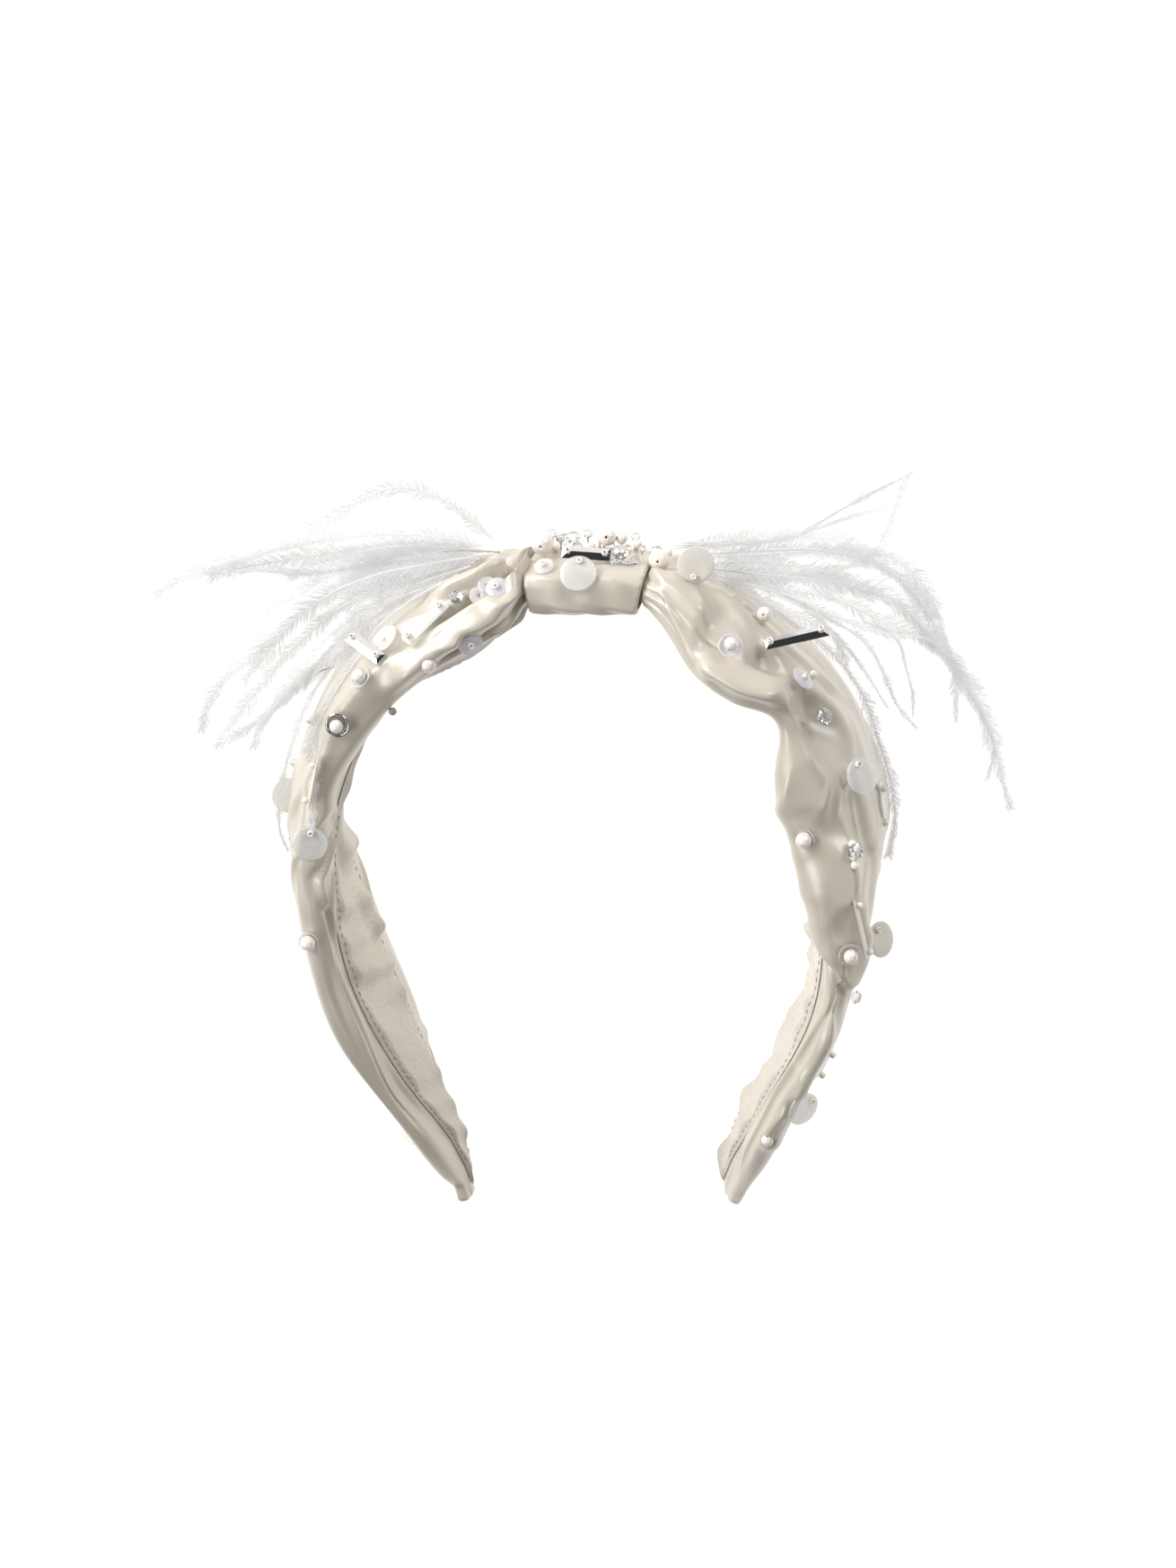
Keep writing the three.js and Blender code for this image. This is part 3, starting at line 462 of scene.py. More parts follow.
CLEAR = plastic("clear_sequin", (0.80, 0.79, 0.77), (0.92, 0.92, 0.91), 0.1,
                {"Alpha": 0.42, "Coat Weight": 0.6})
SMOKY = plastic("smoky_bead", (0.26, 0.21, 0.17), (0.44, 0.37, 0.30), 0.12, {"Coat Weight": 0.5})
LILAC = plastic("lilac_sequin", (0.74, 0.71, 0.84), (0.88, 0.87, 0.94), 0.1,
                {"Alpha": 0.5, "Coat Weight": 0.8, "Thin Film Thickness": 440.0, "Thin Film IOR": 1.45})


# Mesh helpers.
def make_piece(name, points, faces, materials, uv=None, smooth=True, face_material=None):
    """A mesh object from points in metres, riding on the one body."""
    mesh = bpy.data.meshes.new(name)
    mesh.from_pydata(np.asarray(points).tolist(), [], [list(face) for face in faces])
    if uv is not None:
        layer = mesh.uv_layers.new(name="cloth")
        layer.data.foreach_set("uv", np.asarray(uv, float).ravel())
    for material in materials:
        mesh.materials.append(material)
    if face_material is not None:
        mesh.polygons.foreach_set("material_index", face_material)
    mesh.polygons.foreach_set("use_smooth", [smooth] * len(mesh.polygons))
    mesh.update()
    piece = bpy.data.objects.new(name, mesh)
    bpy.context.scene.collection.objects.link(piece)
    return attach(piece, "root")


def grid_faces(rows, columns, closed_rows=False):
    """Quads over a grid of points whose rows are rings, and each corner's row and column."""
    bands = rows if closed_rows else rows - 1
    i, j = (index.ravel() for index in np.indices((bands, columns)))
    corner_rows = np.stack([i, i, i + 1, i + 1], -1)
    corner_columns = np.stack([j, j + 1, j + 1, j], -1)
    faces = (corner_rows % rows) * columns + corner_columns % columns
    return faces, corner_rows, corner_columns


def cloth_piece(name, grid, material, closed_rows=False, capped=False):
    """Cloth over a grid of closed rings, in metres, with its cloth coordinates."""
    rows, columns = grid.shape[:2]
    faces, corner_rows, corner_columns = grid_faces(rows, columns, closed_rows)
    along = np.concatenate([grid, grid[:1]]) if closed_rows else grid
    around = np.concatenate([grid, grid[:, :1]], 1)
    run = np.concatenate([[0], np.cumsum(np.linalg.norm(np.diff(along, axis=0), axis=2).mean(1))])
    girth = np.concatenate([[0], np.cumsum(np.linalg.norm(np.diff(around, axis=1), axis=2).mean(0))])
    uv = np.stack([run[corner_rows], girth[corner_columns]], -1).reshape(-1, 2)
    points = grid.reshape(-1, 3)
    faces = faces.tolist()
    if capped:
        for row, turned in ((0, True), (rows - 1, False)):
            ring = list(range(row * columns, (row + 1) * columns))
            faces.append(ring[::-1] if turned else ring)
            uv = np.vstack([uv, np.stack([np.full(columns, run[row]), girth[:-1]], -1)])
    return make_piece(name, points, faces, [material], uv)


def turned(profile, sides):
    """Points and faces of a closed profile of (radius, height) turned round Z."""
    angle = round_angles(sides)
    profile = np.array(profile, float)
    radius, height = profile[:, :1], profile[:, 1:]
    points = np.stack([radius * np.cos(angle), radius * np.sin(angle), height + 0 * angle], -1)
    faces = grid_faces(len(profile), sides, closed_rows=True)[0]
    return points.reshape(-1, 3), faces


def joined(parts):
    """Several (points, faces) as one."""
    points, faces, count = [], [], 0
    for part_points, part_faces in parts:
        points.append(part_points)
        faces.extend((np.asarray(face) + count).tolist() for face in part_faces)
        count += len(part_points)
    return np.vstack(points), faces


# Trimmings. The solids give each one's place: its middle, its axes and its sewn end.
class Seat:
    """Middle, axes (long, across, out) and sizes of a solid, in metres."""

    def __init__(self, node):
        mesh = frame["nodes"][node].data
        points = np.array([vertex.co for vertex in mesh.vertices], float)
        mean = points.mean(0)
        axes = np.linalg.svd(points - mean, full_matrices=False)[2]
        spread = (points - mean) @ axes.T
        self.middle = mean + (spread.min(0) + spread.max(0)) / 2 @ axes
        self.sizes = np.ptp(spread, axis=0)
        self.out = axes[2]
        away = self.middle - to_frame(nearest_core(self.middle))
        if self.out @ away < 0:
            self.out = -self.out
        self.long = axes[0]
        self.sewn = mean - self.middle

    def turn_long(self, way):
        """Turns the long axis to point some way, within the flat of the piece."""
        self.long = unit(way - self.out * (way @ self.out))

    def place(self, points, centre_height=0.0):
        """Points modelled in millimetres, long axis X and facing Z, at this seat."""
        across = np.cross(self.out, self.long)
        local = np.asarray(points, float) * MM
        local[:, 2] -= centre_height * MM
        return self.middle + local @ np.stack([self.long, across, self.out])


def nearest_core(point):
    """The nearest spot of the middle line to a point in metres, at the middle depth."""
    flat = (point - ORIGIN)[:2] / MM
    spot = LINE[((LINE - flat) ** 2).sum(1).argmin()]
    return np.array([spot[0], spot[1], MID_DEPTH])


ROUND_SIDES = 56
# A rounded edge, as (share of the way from the hole to the rim, share of the thickness).
PLATE_EDGE = [(0, 0.5), (0.015, 0.85), (0.06, 1), (0.5, 1), (0.95, 1), (0.99, 0.8), (1, 0.5), (0.99, 0.2),
              (0.95, 0), (0.5, 0), (0.06, 0), (0.015, 0.15)]


def round_plate(diameter, thickness, hole, hole_at, dish=0.0):
    """A round sequin with one hole, its faces slightly dished."""
    angle = round_angles(ROUND_SIDES)
    spoke = np.stack([np.cos(angle), np.sin(angle)], -1)
    rings = []
    for share, level in PLATE_EDGE:
        flat = (hole / 2 * spoke + [hole_at, 0]) * (1 - share) + diameter / 2 * spoke * share
        height = level * thickness + dish * ((flat / diameter * 2) ** 2).sum(1)
        rings.append(np.column_stack([flat, height]))
    return np.vstack(rings), grid_faces(len(rings), ROUND_SIDES, closed_rows=True)[0]


PAILLETTE = {"diameter": 8.0, "thickness": 0.4, "hole": 1.2, "hole_at": -2.7}
SEQUIN = {"thickness": 0.35, "hole": 1.0, "hole_at": 0.0, "dish": -0.25}
BAR = {"ridge": 0.62, "hip": 0.45, "bevel": 0.09, "hole_from_end": 1.3}
BEVEL_STEPS = 2
CUP = {"diameter": 5.4, "height": 1.4, "wall": 0.4, "hole": 0.6}
# The cup's profile from its hole out to the rim, in shares of its radius and height, and back
# along the inside, where a share of the wall comes on top.
CUP_OUTSIDE = [(0.4, 0), (0.62, 0.16), (0.8, 0.42), (0.92, 0.72), (1, 1)]
CUP_INSIDE = [(0.84, 0.76, 0), (0.7, 0.48, 0), (0.52, 0.26, 0.5), (0.36, 0, 1)]
PEARL_BORE = 0.32
PEARL_RINGS = 22
PEARL_SIDES = 32
SEED = {"diameter": 1.5, "bore": 0.5, "height": 0.8, "lift": 0.5}
SEED_RINGS = 12
SEED_SIDES = 16
# Rings of a cut stone from its back up: shares of its radius and height, and the turn in sides.
CRYSTAL_RINGS = [(0.6, 0, 0), (1, 0.42, 0.5), (1, 0.5, 0.5), (0.8, 0.8, 0), (0.52, 1, 0.5)]
CRYSTAL_SIDES = 8


def bar_shape(length, width, thickness):
    """A baguette bar: flat back, low sides and a roof of two long facets."""
    x, y, side = length / 2, width / 2, thickness * (1 - BAR["ridge"])
    ridge = x - width * BAR["hip"]
    corners = [(-x, -y), (x, -y), (x, y), (-x, y)]
    points = [(px, py, 0) for px, py in corners] + [(px, py, side) for px, py in corners]
    points += [(-ridge, 0, thickness), (ridge, 0, thickness)]
    faces = [(3, 2, 1, 0), (0, 1, 5, 4), (1, 2, 6, 5), (2, 3, 7, 6), (3, 0, 4, 7), (4, 5, 9, 8), (5, 6, 9),
             (6, 7, 8, 9), (7, 4, 8)]
    return np.array(points, float), faces


def cup_shape():
    r, h, w, hole = CUP["diameter"] / 2, CUP["height"], CUP["wall"], CUP["hole"] / 2
    outside = [(x * r, y * h) for x, y in CUP_OUTSIDE]
    inside = [(x * r, y * h + share * w) for x, y, share in CUP_INSIDE]
    return turned([(hole, 0), *outside, (r - w, h), *inside, (hole, w)], ROUND_SIDES)


def pearl_shape(size):
    """A pearl bored along X."""
    start = math.asin(2 * PEARL_BORE / size)
    angle = np.linspace(start, math.pi - start, PEARL_RINGS)
    profile = [(size / 2 * math.sin(a), -size / 2 * math.cos(a)) for a in angle]
    points, faces = turned(profile, PEARL_SIDES)
    return points[:, [2, 0, 1]], faces


def crystal_shape(size, height):
    """A cut stone: table, eight star facets, eight mains, a girdle and a flat back."""
    points = []
    for radius, level, offset in CRYSTAL_RINGS:
        angle = (np.arange(CRYSTAL_SIDES) + offset) * 2 * math.pi / CRYSTAL_SIDES
        spoke = radius * (size / 2)
        ring = [spoke * np.cos(angle), spoke * np.sin(angle), np.full(CRYSTAL_SIDES, level * height)]
        points.append(np.stack(ring, -1))
    top = len(CRYSTAL_RINGS) - 1
    faces = [tuple(range(CRYSTAL_SIDES))[::-1], tuple(top * CRYSTAL_SIDES + np.arange(CRYSTAL_SIDES))]
    for ring in range(top):
        low, high = CRYSTAL_RINGS[ring][2], CRYSTAL_RINGS[ring + 1][2]
        here, there = ring * CRYSTAL_SIDES, (ring + 1) * CRYSTAL_SIDES
        for k in range(CRYSTAL_SIDES):
            n = (k + 1) % CRYSTAL_SIDES
            if low == high:
                faces.append((here + k, here + n, there + n, there + k))
            elif low < high:
                faces += [(here + k, here + n, there + k), (here + n, there + n, there + k)]
            else:
                faces += [(here + k, there + n, there + k), (here + k, here + n, there + n)]
    return np.vstack(points), faces


def bevelled(piece, width):
    """Softens a hard-edged piece's edges."""
    softener = piece.modifiers.new("edges", "BEVEL")
    softener.width = width * MM
    softener.segments = BEVEL_STEPS
    softener.limit_method = "ANGLE"


LOOK_OF_SLOT = {
    "milky_sequin": MILKY, "ivory_sequin": IVORY, "clear_sequin": CLEAR, "lilac_sequin": LILAC,
    "mirror_trim": MIRROR, "pearl": PEARL, "crystal": CRYSTAL,
}
TRIMS = [(row["node"], row["material_slot"]) for row in frame["record"]["subparts"]
         if row["material_slot"] in LOOK_OF_SLOT]
seed_places = []


def trim_shape(kind, seat):
    """A trimming's points and faces, the height of its middle, and its sewing holes along it."""
    long, width, deep = seat.sizes / MM
    if kind == "paillette":
        return round_plate(**PAILLETTE), PAILLETTE["thickness"] / 2, [PAILLETTE["hole_at"]]
    if kind == "sequin":
        return round_plate(long, **SEQUIN), SEQUIN["thickness"] / 2, [SEQUIN["hole_at"]]
    if kind == "bar":
        hole = long / 2 - BAR["hole_from_end"]
        return bar_shape(long, width, deep), deep / 2, [-hole, hole]
    if kind == "cup":
        return cup_shape(), CUP["height"] / 2, []
    if kind == "pearl":
        return pearl_shape(long), 0, []
    return crystal_shape(long, deep), deep / 2, []


def sewn_piece(node, slot):
    """The shown form of one trimming's solid, at its own seat."""
    seat = Seat(node)
    kind = "bar" if "bar" in node else node.split("_")[0]
    if kind == "paillette":
        seat.turn_long(-seat.sewn)
    (points, faces), middle, holes = trim_shape(kind, seat)
    points = seat.place(points, middle)
    smooth = kind not in ("bar", "crystal")
    piece = make_piece("sewn_" + node, points, faces, [LOOK_OF_SLOT[slot]], smooth=smooth)
    if kind == "bar":
        bevelled(piece, BAR["bevel"])
    seed_places.extend((seat, hole) for hole in holes)
    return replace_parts(piece, node)


def sew_trimmings():
    for node, slot in TRIMS:
        sewn_piece(node, slot)


def sew_seed_beads():
    """A seed bead over each hole of the paillettes, sequins and bars."""
    parts = []
    r, bore = SEED["diameter"] / 2, SEED["bore"] / 2
    angle = round_angles(SEED_RINGS)
    tube = (r - bore) / 2
    profile = [(bore + tube + tube * math.cos(a), SEED["height"] * r * math.sin(a)) for a in angle]
    for seat, hole in seed_places:
        points, faces = turned(profile, SEED_SIDES)
        lift = seat.sizes[2] / MM / 2 + SEED["lift"] * r
        parts.append((seat.place(points + [hole, 0, lift]), faces))
    points, faces = joined(parts)
    make_piece("seed_beads", points, faces, [PEARL])


# Satin cover.
COVER_STATIONS = 430
COVER_AROUND = 196
TIP_RINGS = 5
TIP_ROUND = 1.6
TIP_CLOSED = 0.95
WAVE_SPREAD = (0.7, 1.4)


def waves(points, length, count, seed):
    """Soft random waves through space, about a length apart, of about unit height."""
    draw = np.random.default_rng(seed)
    ways = unit(draw.normal(size=(count, 3)))
    lengths = length * draw.uniform(*WAVE_SPREAD, count)
    phases = draw.uniform(0, 2 * math.pi, count)
    total = np.zeros(points.shape[:-1])
    for way, spacing, phase in zip(ways, lengths, phases):
        total += np.sin(points @ way * 2 * math.pi / spacing + phase)
    return total * math.sqrt(2 / count)


# Lapped edges of the wound cloth, a row per edge: how high the lap stands, how far in
# millimetres its raised side reaches (to the left of its course, or to the right if below
# nought), and its course as (along, degrees).
LAPS = [
    (0.9, -2.6, [(-38, 66), (-30, 70), (-24, 72), (-18, 75), (-13.2, 80)]),
    (1.0, -3.0, [(-40, 98), (-30, 103), (-20, 108), (-13.2, 114)]),
    (1.2, 3.5, [(-90, -62), (-93, -58), (-96, -46), (-102, -18), (-106, -22), (-113, -44), (-120, -54),
                (-132, -56)]),
    (1.3, 3.0, [(-178, -20), (-163, -27), (-148, -33), (-133, -35), (-119, -36), (-108, -32),
                (-100, -20)]),
    (0.8, 4.0, [(22, 97), (30, 92), (38, 86), (45, 85), (53, 86), (60, 91), (64, 106)]),
    (1.8, 4.5, [(103, -56), (110, -40), (115, -12), (120, 26), (123, 46)]),
    (1.2, -3.0, [(106, 66), (113, 58), (118, 53), (123, 46)]),
    (0.6, -3.5, [(122, -6), (130, -24), (140, -36), (156, -40), (172, -36), (186, -22)]),
    (0.5, 3.0, [(88, 84), (92, 62), (96, 40), (99, 24)]),
]
LAP_EDGE = 0.3
LAP_LIP = 0.6
LAP_FADE = (0.2, 0.8)
LAP_GROOVE = {"depth": 0.35, "away": 1.0, "breadth": 0.8}
# A course that ends nearer the crown than this runs in under the wrap and doesn't fade out.
GATHERED_AT = 14.0
# How far past the ends of a course its fold is worked out.
COURSE_MARGIN = 8.0
FOLD_STRENGTH = 1.2


def course_distance(course, along, arc):
    """Distance to a course, above nought to its left, and the share of the course passed."""
    best = np.full(along.shape, np.inf)
    signed = np.zeros(along.shape)
    passed = np.zeros(along.shape)
    for k, (start, end) in enumerate(zip(course[:-1], course[1:])):
        way = end - start
        share = ((along - start[0]) * way[0] + (arc - start[1]) * way[1]) / (way @ way)
        share = np.clip(share, 0, 1)
        off_along = along - start[0] - share * way[0]
        off_arc = arc - start[1] - share * way[1]
        gap = np.hypot(off_along, off_arc)
        nearer = gap < best
        side = np.sign(way[0] * off_arc - way[1] * off_along)
        best = np.where(nearer, gap, best)
        signed = np.where(nearer, gap * side, signed)
        passed = np.where(nearer, (k + share) / (len(course) - 1), passed)
    return signed, passed


def on_cover(course, along, degrees, arc):
    """A course's degrees turned into distances round the cover."""
    rows = np.array(course, float)
    at = np.abs(along[:, 0][None, :] - rows[:, :1]).argmin(1)
    round_at = [np.interp(turn, degrees[0], arc[k]) for k, turn in zip(at, rows[:, 1])]
    return np.column_stack([rows[:, 0], round_at])


def beside_course(course, along, degrees, arc, fade):
    """The stations beside a course, the distance from it there, and the share of its fold there:
    it fades in and, unless the course runs in under the wrap, out again."""
    line = on_cover(course, along, degrees, arc)
    low, high = line[:, 0].min() - COURSE_MARGIN, line[:, 0].max() + COURSE_MARGIN
    near = (along[:, 0] > low) & (along[:, 0] < high)
    gap, passed = course_distance(line, np.broadcast_to(along, arc.shape)[near], arc[near])
    hold = smooth_step(passed, 0, fade[0])
    if abs(line[-1, 0]) > GATHERED_AT:
        hold = hold * (1 - smooth_step(passed, fade[1], 1))
    return near, gap, hold


def lap_relief(along, degrees, arc):
    """Height of the lapped edges; arc is the distance round the section from its front edge."""
    relief = np.zeros(arc.shape)
    for rise, reach, course in LAPS:
        near, gap, hold = beside_course(course, along, degrees, arc, LAP_FADE)
        gap = gap * np.sign(reach)
        edge = np.exp(-np.abs(gap) / LAP_EDGE)
        above = (1 - (1 - LAP_LIP) * edge) * np.exp(-np.abs(gap) / abs(reach))
        groove = np.exp(-(((gap + LAP_GROOVE["away"]) / LAP_GROOVE["breadth"]) ** 2))
        below = LAP_LIP * edge - LAP_GROOVE["depth"] * groove
        relief[near] += rise * hold * np.where(gap > 0, above, below)
    return relief


# Rolls and valleys, a row each: the height, its reach in millimetres to the left and to the
# right of its course, and the course as (along, degrees).
ROLLS = [
    (3.2, 2.8, 2.0, [(-54, -14), (-46, -10), (-41.5, -7), (-33.5, -5), (-27, -4), (-20.5, -2), (-16.5, 10),
                     (-14.6, 40), (-13.2, 80)]),
    (-3.0, 1.6, 1.8, [(-46, 18), (-41, 18), (-35, 24), (-29, 34), (-24, 40), (-19, 46), (-16, 60),
                      (-14.6, 86), (-13.2, 112)]),
    (1.6, 1.8, 1.6, [(-36, 60), (-30, 63), (-26.5, 64), (-20.5, 66), (-17, 74), (-15, 98), (-13.2, 106)]),
    (1.2, 1.4, 1.4, [(-30, 84), (-26, 92), (-22, 100), (-18, 112), (-13.2, 130)]),
    (-2.0, 1.2, 1.6, [(-38, -18), (-30, -20), (-24.5, -21), (-20, -22), (-15.5, -27), (-13.2, -24)]),
    (2.8, 2.8, 2.0, [(28, -4), (31, -3), (34, -1), (37.5, 0), (41.5, 1), (45.5, 4), (49, 9), (54, 20)]),
    (-2.8, 3.2, 2.6, [(25, 14), (28, 15), (31, 17), (34, 21), (37.5, 28), (41, 40), (44, 54), (47, 66)]),
    (-0.8, 1.2, 1.6, [(33, -12), (36, -9), (40.5, -8), (46, -6), (51, -8)]),
    (2.2, 4.0, 1.6, [(13.2, 62), (16, 52), (20, 47), (24, 44), (29, 42)]),
    (-1.6, 3.0, 3.4, [(34, 68), (40, 66), (46, 62), (53, 58), (60, 62), (66, 74)]),
    (0.8, 4.0, 4.0, [(60, 74), (66, 50), (70, 28), (75, 4), (78, -16)]),
    (0.7, 3.0, 3.0, [(-72, 30), (-62, 20), (-54, 12), (-48, 2)]),
    (-0.8, 3.0, 3.0, [(-100, 30), (-88, 24), (-76, 20), (-66, 24), (-58, 34)]),
    (-0.9, 2.5, 4.0, [(-176, -12), (-160, -14), (-146, -16), (-132, -20), (-120, -26)]),
    (0.8, 2.5, 2.5, [(126, 24), (138, 10), (150, 6), (164, 2), (178, 4)]),
    (2.4, 8.0, 3.0, [(54, -30), (64, -32), (76, -40), (88, -40), (100, -36), (112, -30)]),
    (-2.2, 5.0, 8.0, [(50, 56), (62, 58), (74, 54), (88, 54), (100, 54), (110, 54)]),
]
ROLL_FADE = (0.25, 0.75)

# Soft swells and hollows, a row each: the middle along and in degrees, the height, the reach
# along and round the cover in millimetres, and how far the reach leans.
SWELLS = [
    (26, 36, -1.0, 9.0, 6.0, 0.0),
    (57, 40, -2.4, 7.0, 8.0, 0.3),
    (31, 78, 0.9, 3.5, 3.0, 0.0),
    (82, 0, -1.6, 6.0, 8.0, -0.4),
    (94, 30, 0.9, 8.0, 6.0, 0.0),
    (116, 24, -1.0, 4.0, 5.0, 0.0),
    (127, 14, -1.4, 5.0, 8.0, 0.0),
    (-28, -34, -0.9, 9.0, 4.0, 0.2),
]


def roll_relief(along, degrees, arc):
    relief = np.zeros(arc.shape)
    for rise, left, right, course in ROLLS:
        near, gap, hold = beside_course(course, along, degrees, arc, ROLL_FADE)
        relief[near] += rise * hold * np.exp(-((gap / np.where(gap > 0, left, right)) ** 2))
    return relief


def swell_relief(along, degrees, arc):
    relief = np.zeros(arc.shape)
    for at, turn, rise, long_reach, round_reach, lean in SWELLS:
        station = np.abs(along[:, 0] - at).argmin()
        off = along - at
        round_off = arc - np.interp(turn, degrees[0], arc[station]) - lean * off
        relief += rise * np.exp(-((off / long_reach) ** 2) - (round_off / round_reach) ** 2)
    return relief


# How the loose cloth behaves. It swells out and is gathered into small pleats where it comes
# from under the wrap; soft waves, streaks along the band and crumples lie all over it.
PLUMP = {"rise": 1.3, "at": 13.6, "reach": 1.6}
GATHER = {"from": 12.8, "start": 2.0, "fade": 9.0, "rise": 0.35, "pleats": 13, "drift": 0.06}
GATHER_UNEVEN = {"swing": 1.5, "count": 4}
SOFT = {"rise": 0.35, "length": 30.0, "count": 9, "seed": 3}
STREAKS = {"rise": 0.16, "length": 6.0, "count": 8, "seed": 11, "shrink": 0.14}
CRUMPLES = {"rise": 0.8, "length": 17.0, "count": 6, "seed": 8, "shrink": 4.0, "breadth": 0.3}
CRUMPLED = {"length": 45.0, "count": 6, "seed": 9, "from": -0.4, "to": 0.9}


def loose_relief(along, degrees, grid, arc):
    def wave(kind, points):
        return waves(points, kind["length"], kind["count"], kind["seed"])

    turn = np.radians(degrees)
    from_wrap = np.clip(np.abs(along) - GATHER["from"], 0, None)
    gathers = np.exp(-from_wrap / GATHER["fade"]) * smooth_step(from_wrap, 0, GATHER["start"])
    uneven = GATHER_UNEVEN["swing"] * np.sin(turn * GATHER_UNEVEN["count"])
    pleats = np.sin(turn * GATHER["pleats"] + uneven + GATHER["drift"] * along)
    cloth = np.stack([np.broadcast_to(along, arc.shape) * STREAKS["shrink"], arc, 0 * arc], -1)
    ridges = wave(CRUMPLES, cloth * [CRUMPLES["shrink"], 1, 1]) / CRUMPLES["breadth"]
    crumpled = smooth_step(wave(CRUMPLED, grid), CRUMPLED["from"], CRUMPLED["to"])
    relief = GATHER["rise"] * gathers * pleats + SOFT["rise"] * wave(SOFT, grid)
    relief = relief + STREAKS["rise"] * wave(STREAKS, cloth)
    relief = relief + CRUMPLES["rise"] * (np.exp(-(ridges**2)) * crumpled)
    return relief + PLUMP["rise"] * np.exp(-(((np.abs(along) - PLUMP["at"]) / PLUMP["reach"]) ** 2))


def cover_relief(along, degrees, grid):
    """Fine folds of the cover, in millimetres along its surface's own way out."""
    step = np.linalg.norm(np.diff(grid, axis=1), axis=2)
    arc = np.concatenate([np.zeros((len(grid), 1)), np.cumsum(step, axis=1)], 1)
    arc -= arc[:, [np.abs(degrees[0]).argmin()]]
    folds = sum(relief(along, degrees, arc) for relief in (lap_relief, roll_relief, swell_relief))
    return loose_relief(along, degrees, grid, arc) + FOLD_STRENGTH * folds


# The cover lies flat under a trimming, from a share of its size to another and a margin more,
# and there a dent keeps only a share of its depth.
UNDER_TRIM = {"flat": 0.5, "free": 0.9, "margin": 1.2, "dent": 0.6}


def flat_under_trims(points):
    """Nought where a trimming is sewn on, one away from them."""
    free = np.ones(points.shape[:-1])
    for node, _ in TRIMS:
        low, high = (np.array(corner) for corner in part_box(node))
        middle = ((low + high) / 2 - ORIGIN) / MM
        reach = (high - low).max() / 2 / MM
        gap = np.linalg.norm(points - middle, axis=-1)
        end = UNDER_TRIM["free"] * reach + UNDER_TRIM["margin"]
        free = np.minimum(free, smooth_step(gap, UNDER_TRIM["flat"] * reach, end))
    return free


# Where the lining runs inside the cover.
LINING = {"rear": -110.0, "thickness": 1.0, "lift": 0.5, "hem": 0.15, "end_gap": 1.5, "hem_breadth": 0.14}
# Degrees of its front edge by the distance from the crown.
LINING_FRONT = [(60, -80), (75, -75), (90, -63), (100, -60), (131, -60), (156, -68), (170, -73), (183, -84),
                (196, -86)]
# Degrees over which the cover's folds die out toward the lining's rear and front edge.
LINING_BLEND = {"rear": 14.0, "front": 10.0}


def lining_front(along):
    """Degrees of the lining's front edge, further back at the crown and at the tips."""
    return np.interp(np.abs(along), *np.array(LINING_FRONT, float).T)


def free_of_lining(along, degrees):
    """Nought where the lining is sewn on, one away from it."""
    front = lining_front(along)
    past_rear = smooth_step(degrees, LINING["rear"] - LINING_BLEND["rear"], LINING["rear"])
    before_front = smooth_step(-degrees, -front - LINING_BLEND["front"], -front)
    return 1 - past_rear * before_front * (degrees < 0)


def surface_normals(grid):
    down = np.gradient(grid, axis=0)
    padded = np.concatenate([grid[:, -1:], grid, grid[:, :1]], 1)
    round_way = (padded[:, 2:] - padded[:, :-2]) / 2
    return unit(np.cross(down, round_way))


def tip_rings(ring, ahead):
    """Rings that round off an end of the cover, from its last ring outward."""
    middle = ring.mean(0)
    rings = []
    for k in range(1, TIP_RINGS + 1):
        angle = k / TIP_RINGS * math.pi / 2 * TIP_CLOSED
        rings.append(middle + (ring - middle) * math.cos(angle) + ahead * TIP_ROUND * math.sin(angle))
    return np.array(rings)


def make_cover():
    stations = np.linspace(LINE_AT[0], LINE_AT[-1], COVER_STATIONS)[:, None]
    degrees = np.linspace(-180, 180, COVER_AROUND, endpoint=False)[None, :]
    grid = cover_point(stations, degrees)
    relief = cover_relief(stations, degrees, grid)
    free = flat_under_trims(grid)
    dents = np.minimum(relief, 0) * (UNDER_TRIM["dent"] + (1 - UNDER_TRIM["dent"]) * free)
    relief = (dents + np.maximum(relief, 0) * free) * free_of_lining(stations, degrees)
    grid = grid + surface_normals(grid) * relief[..., None]
    grid[..., 2] = np.maximum(grid[..., 2], 0)
    left = tip_rings(grid[0], -np.append(LINE_AHEAD[0], 0))
    right = tip_rings(grid[-1], np.append(LINE_AHEAD[-1], 0))
    whole = np.concatenate([left[::-1], grid, right])
    whole[..., 2] = np.maximum(whole[..., 2], 0)
    cover = cloth_piece("satin_folds", to_frame(whole), SATIN, capped=True)
    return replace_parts(cover, "satin_cover")


# Lining: a ribbon inside the cover, rounded off at its ends and puckered, most of all along
# the upper legs. A crease runs down each leg there, with a padded roll behind it; its course is
# the left leg's, as (along, degrees), and the right leg's mirrors it.
LINING_STATIONS = 420
LINING_ACROSS = 34
LINING_END = 16.0
LEAST_FULL = 0.004
LEAST_THICK = 0.2
LEAST_DEPTH = 0.1
PUCKER = {"spacing": 9.5, "rise": 1.5, "hem": 0.8, "slant": 5.0, "breadth": 7.0, "count": 8, "seed": 5,
          "calm": 0.25, "at_front": 0.3, "lower": 0.3}
PUCKERED = (80.0, 100.0, 128.0, 150.0)
CREASE = {"depth": 0.9, "breadth": 4.0, "roll": 1.2, "roll_away": 12.0, "roll_breadth": 8.0}
CREASED = (90.0, 97.0, 124.0, 138.0)
CREASE_COURSE = [(-92, -60), (-97, -66), (-105, -79), (-112, -88), (-121, -91), (-128, -96), (-136, -101)]


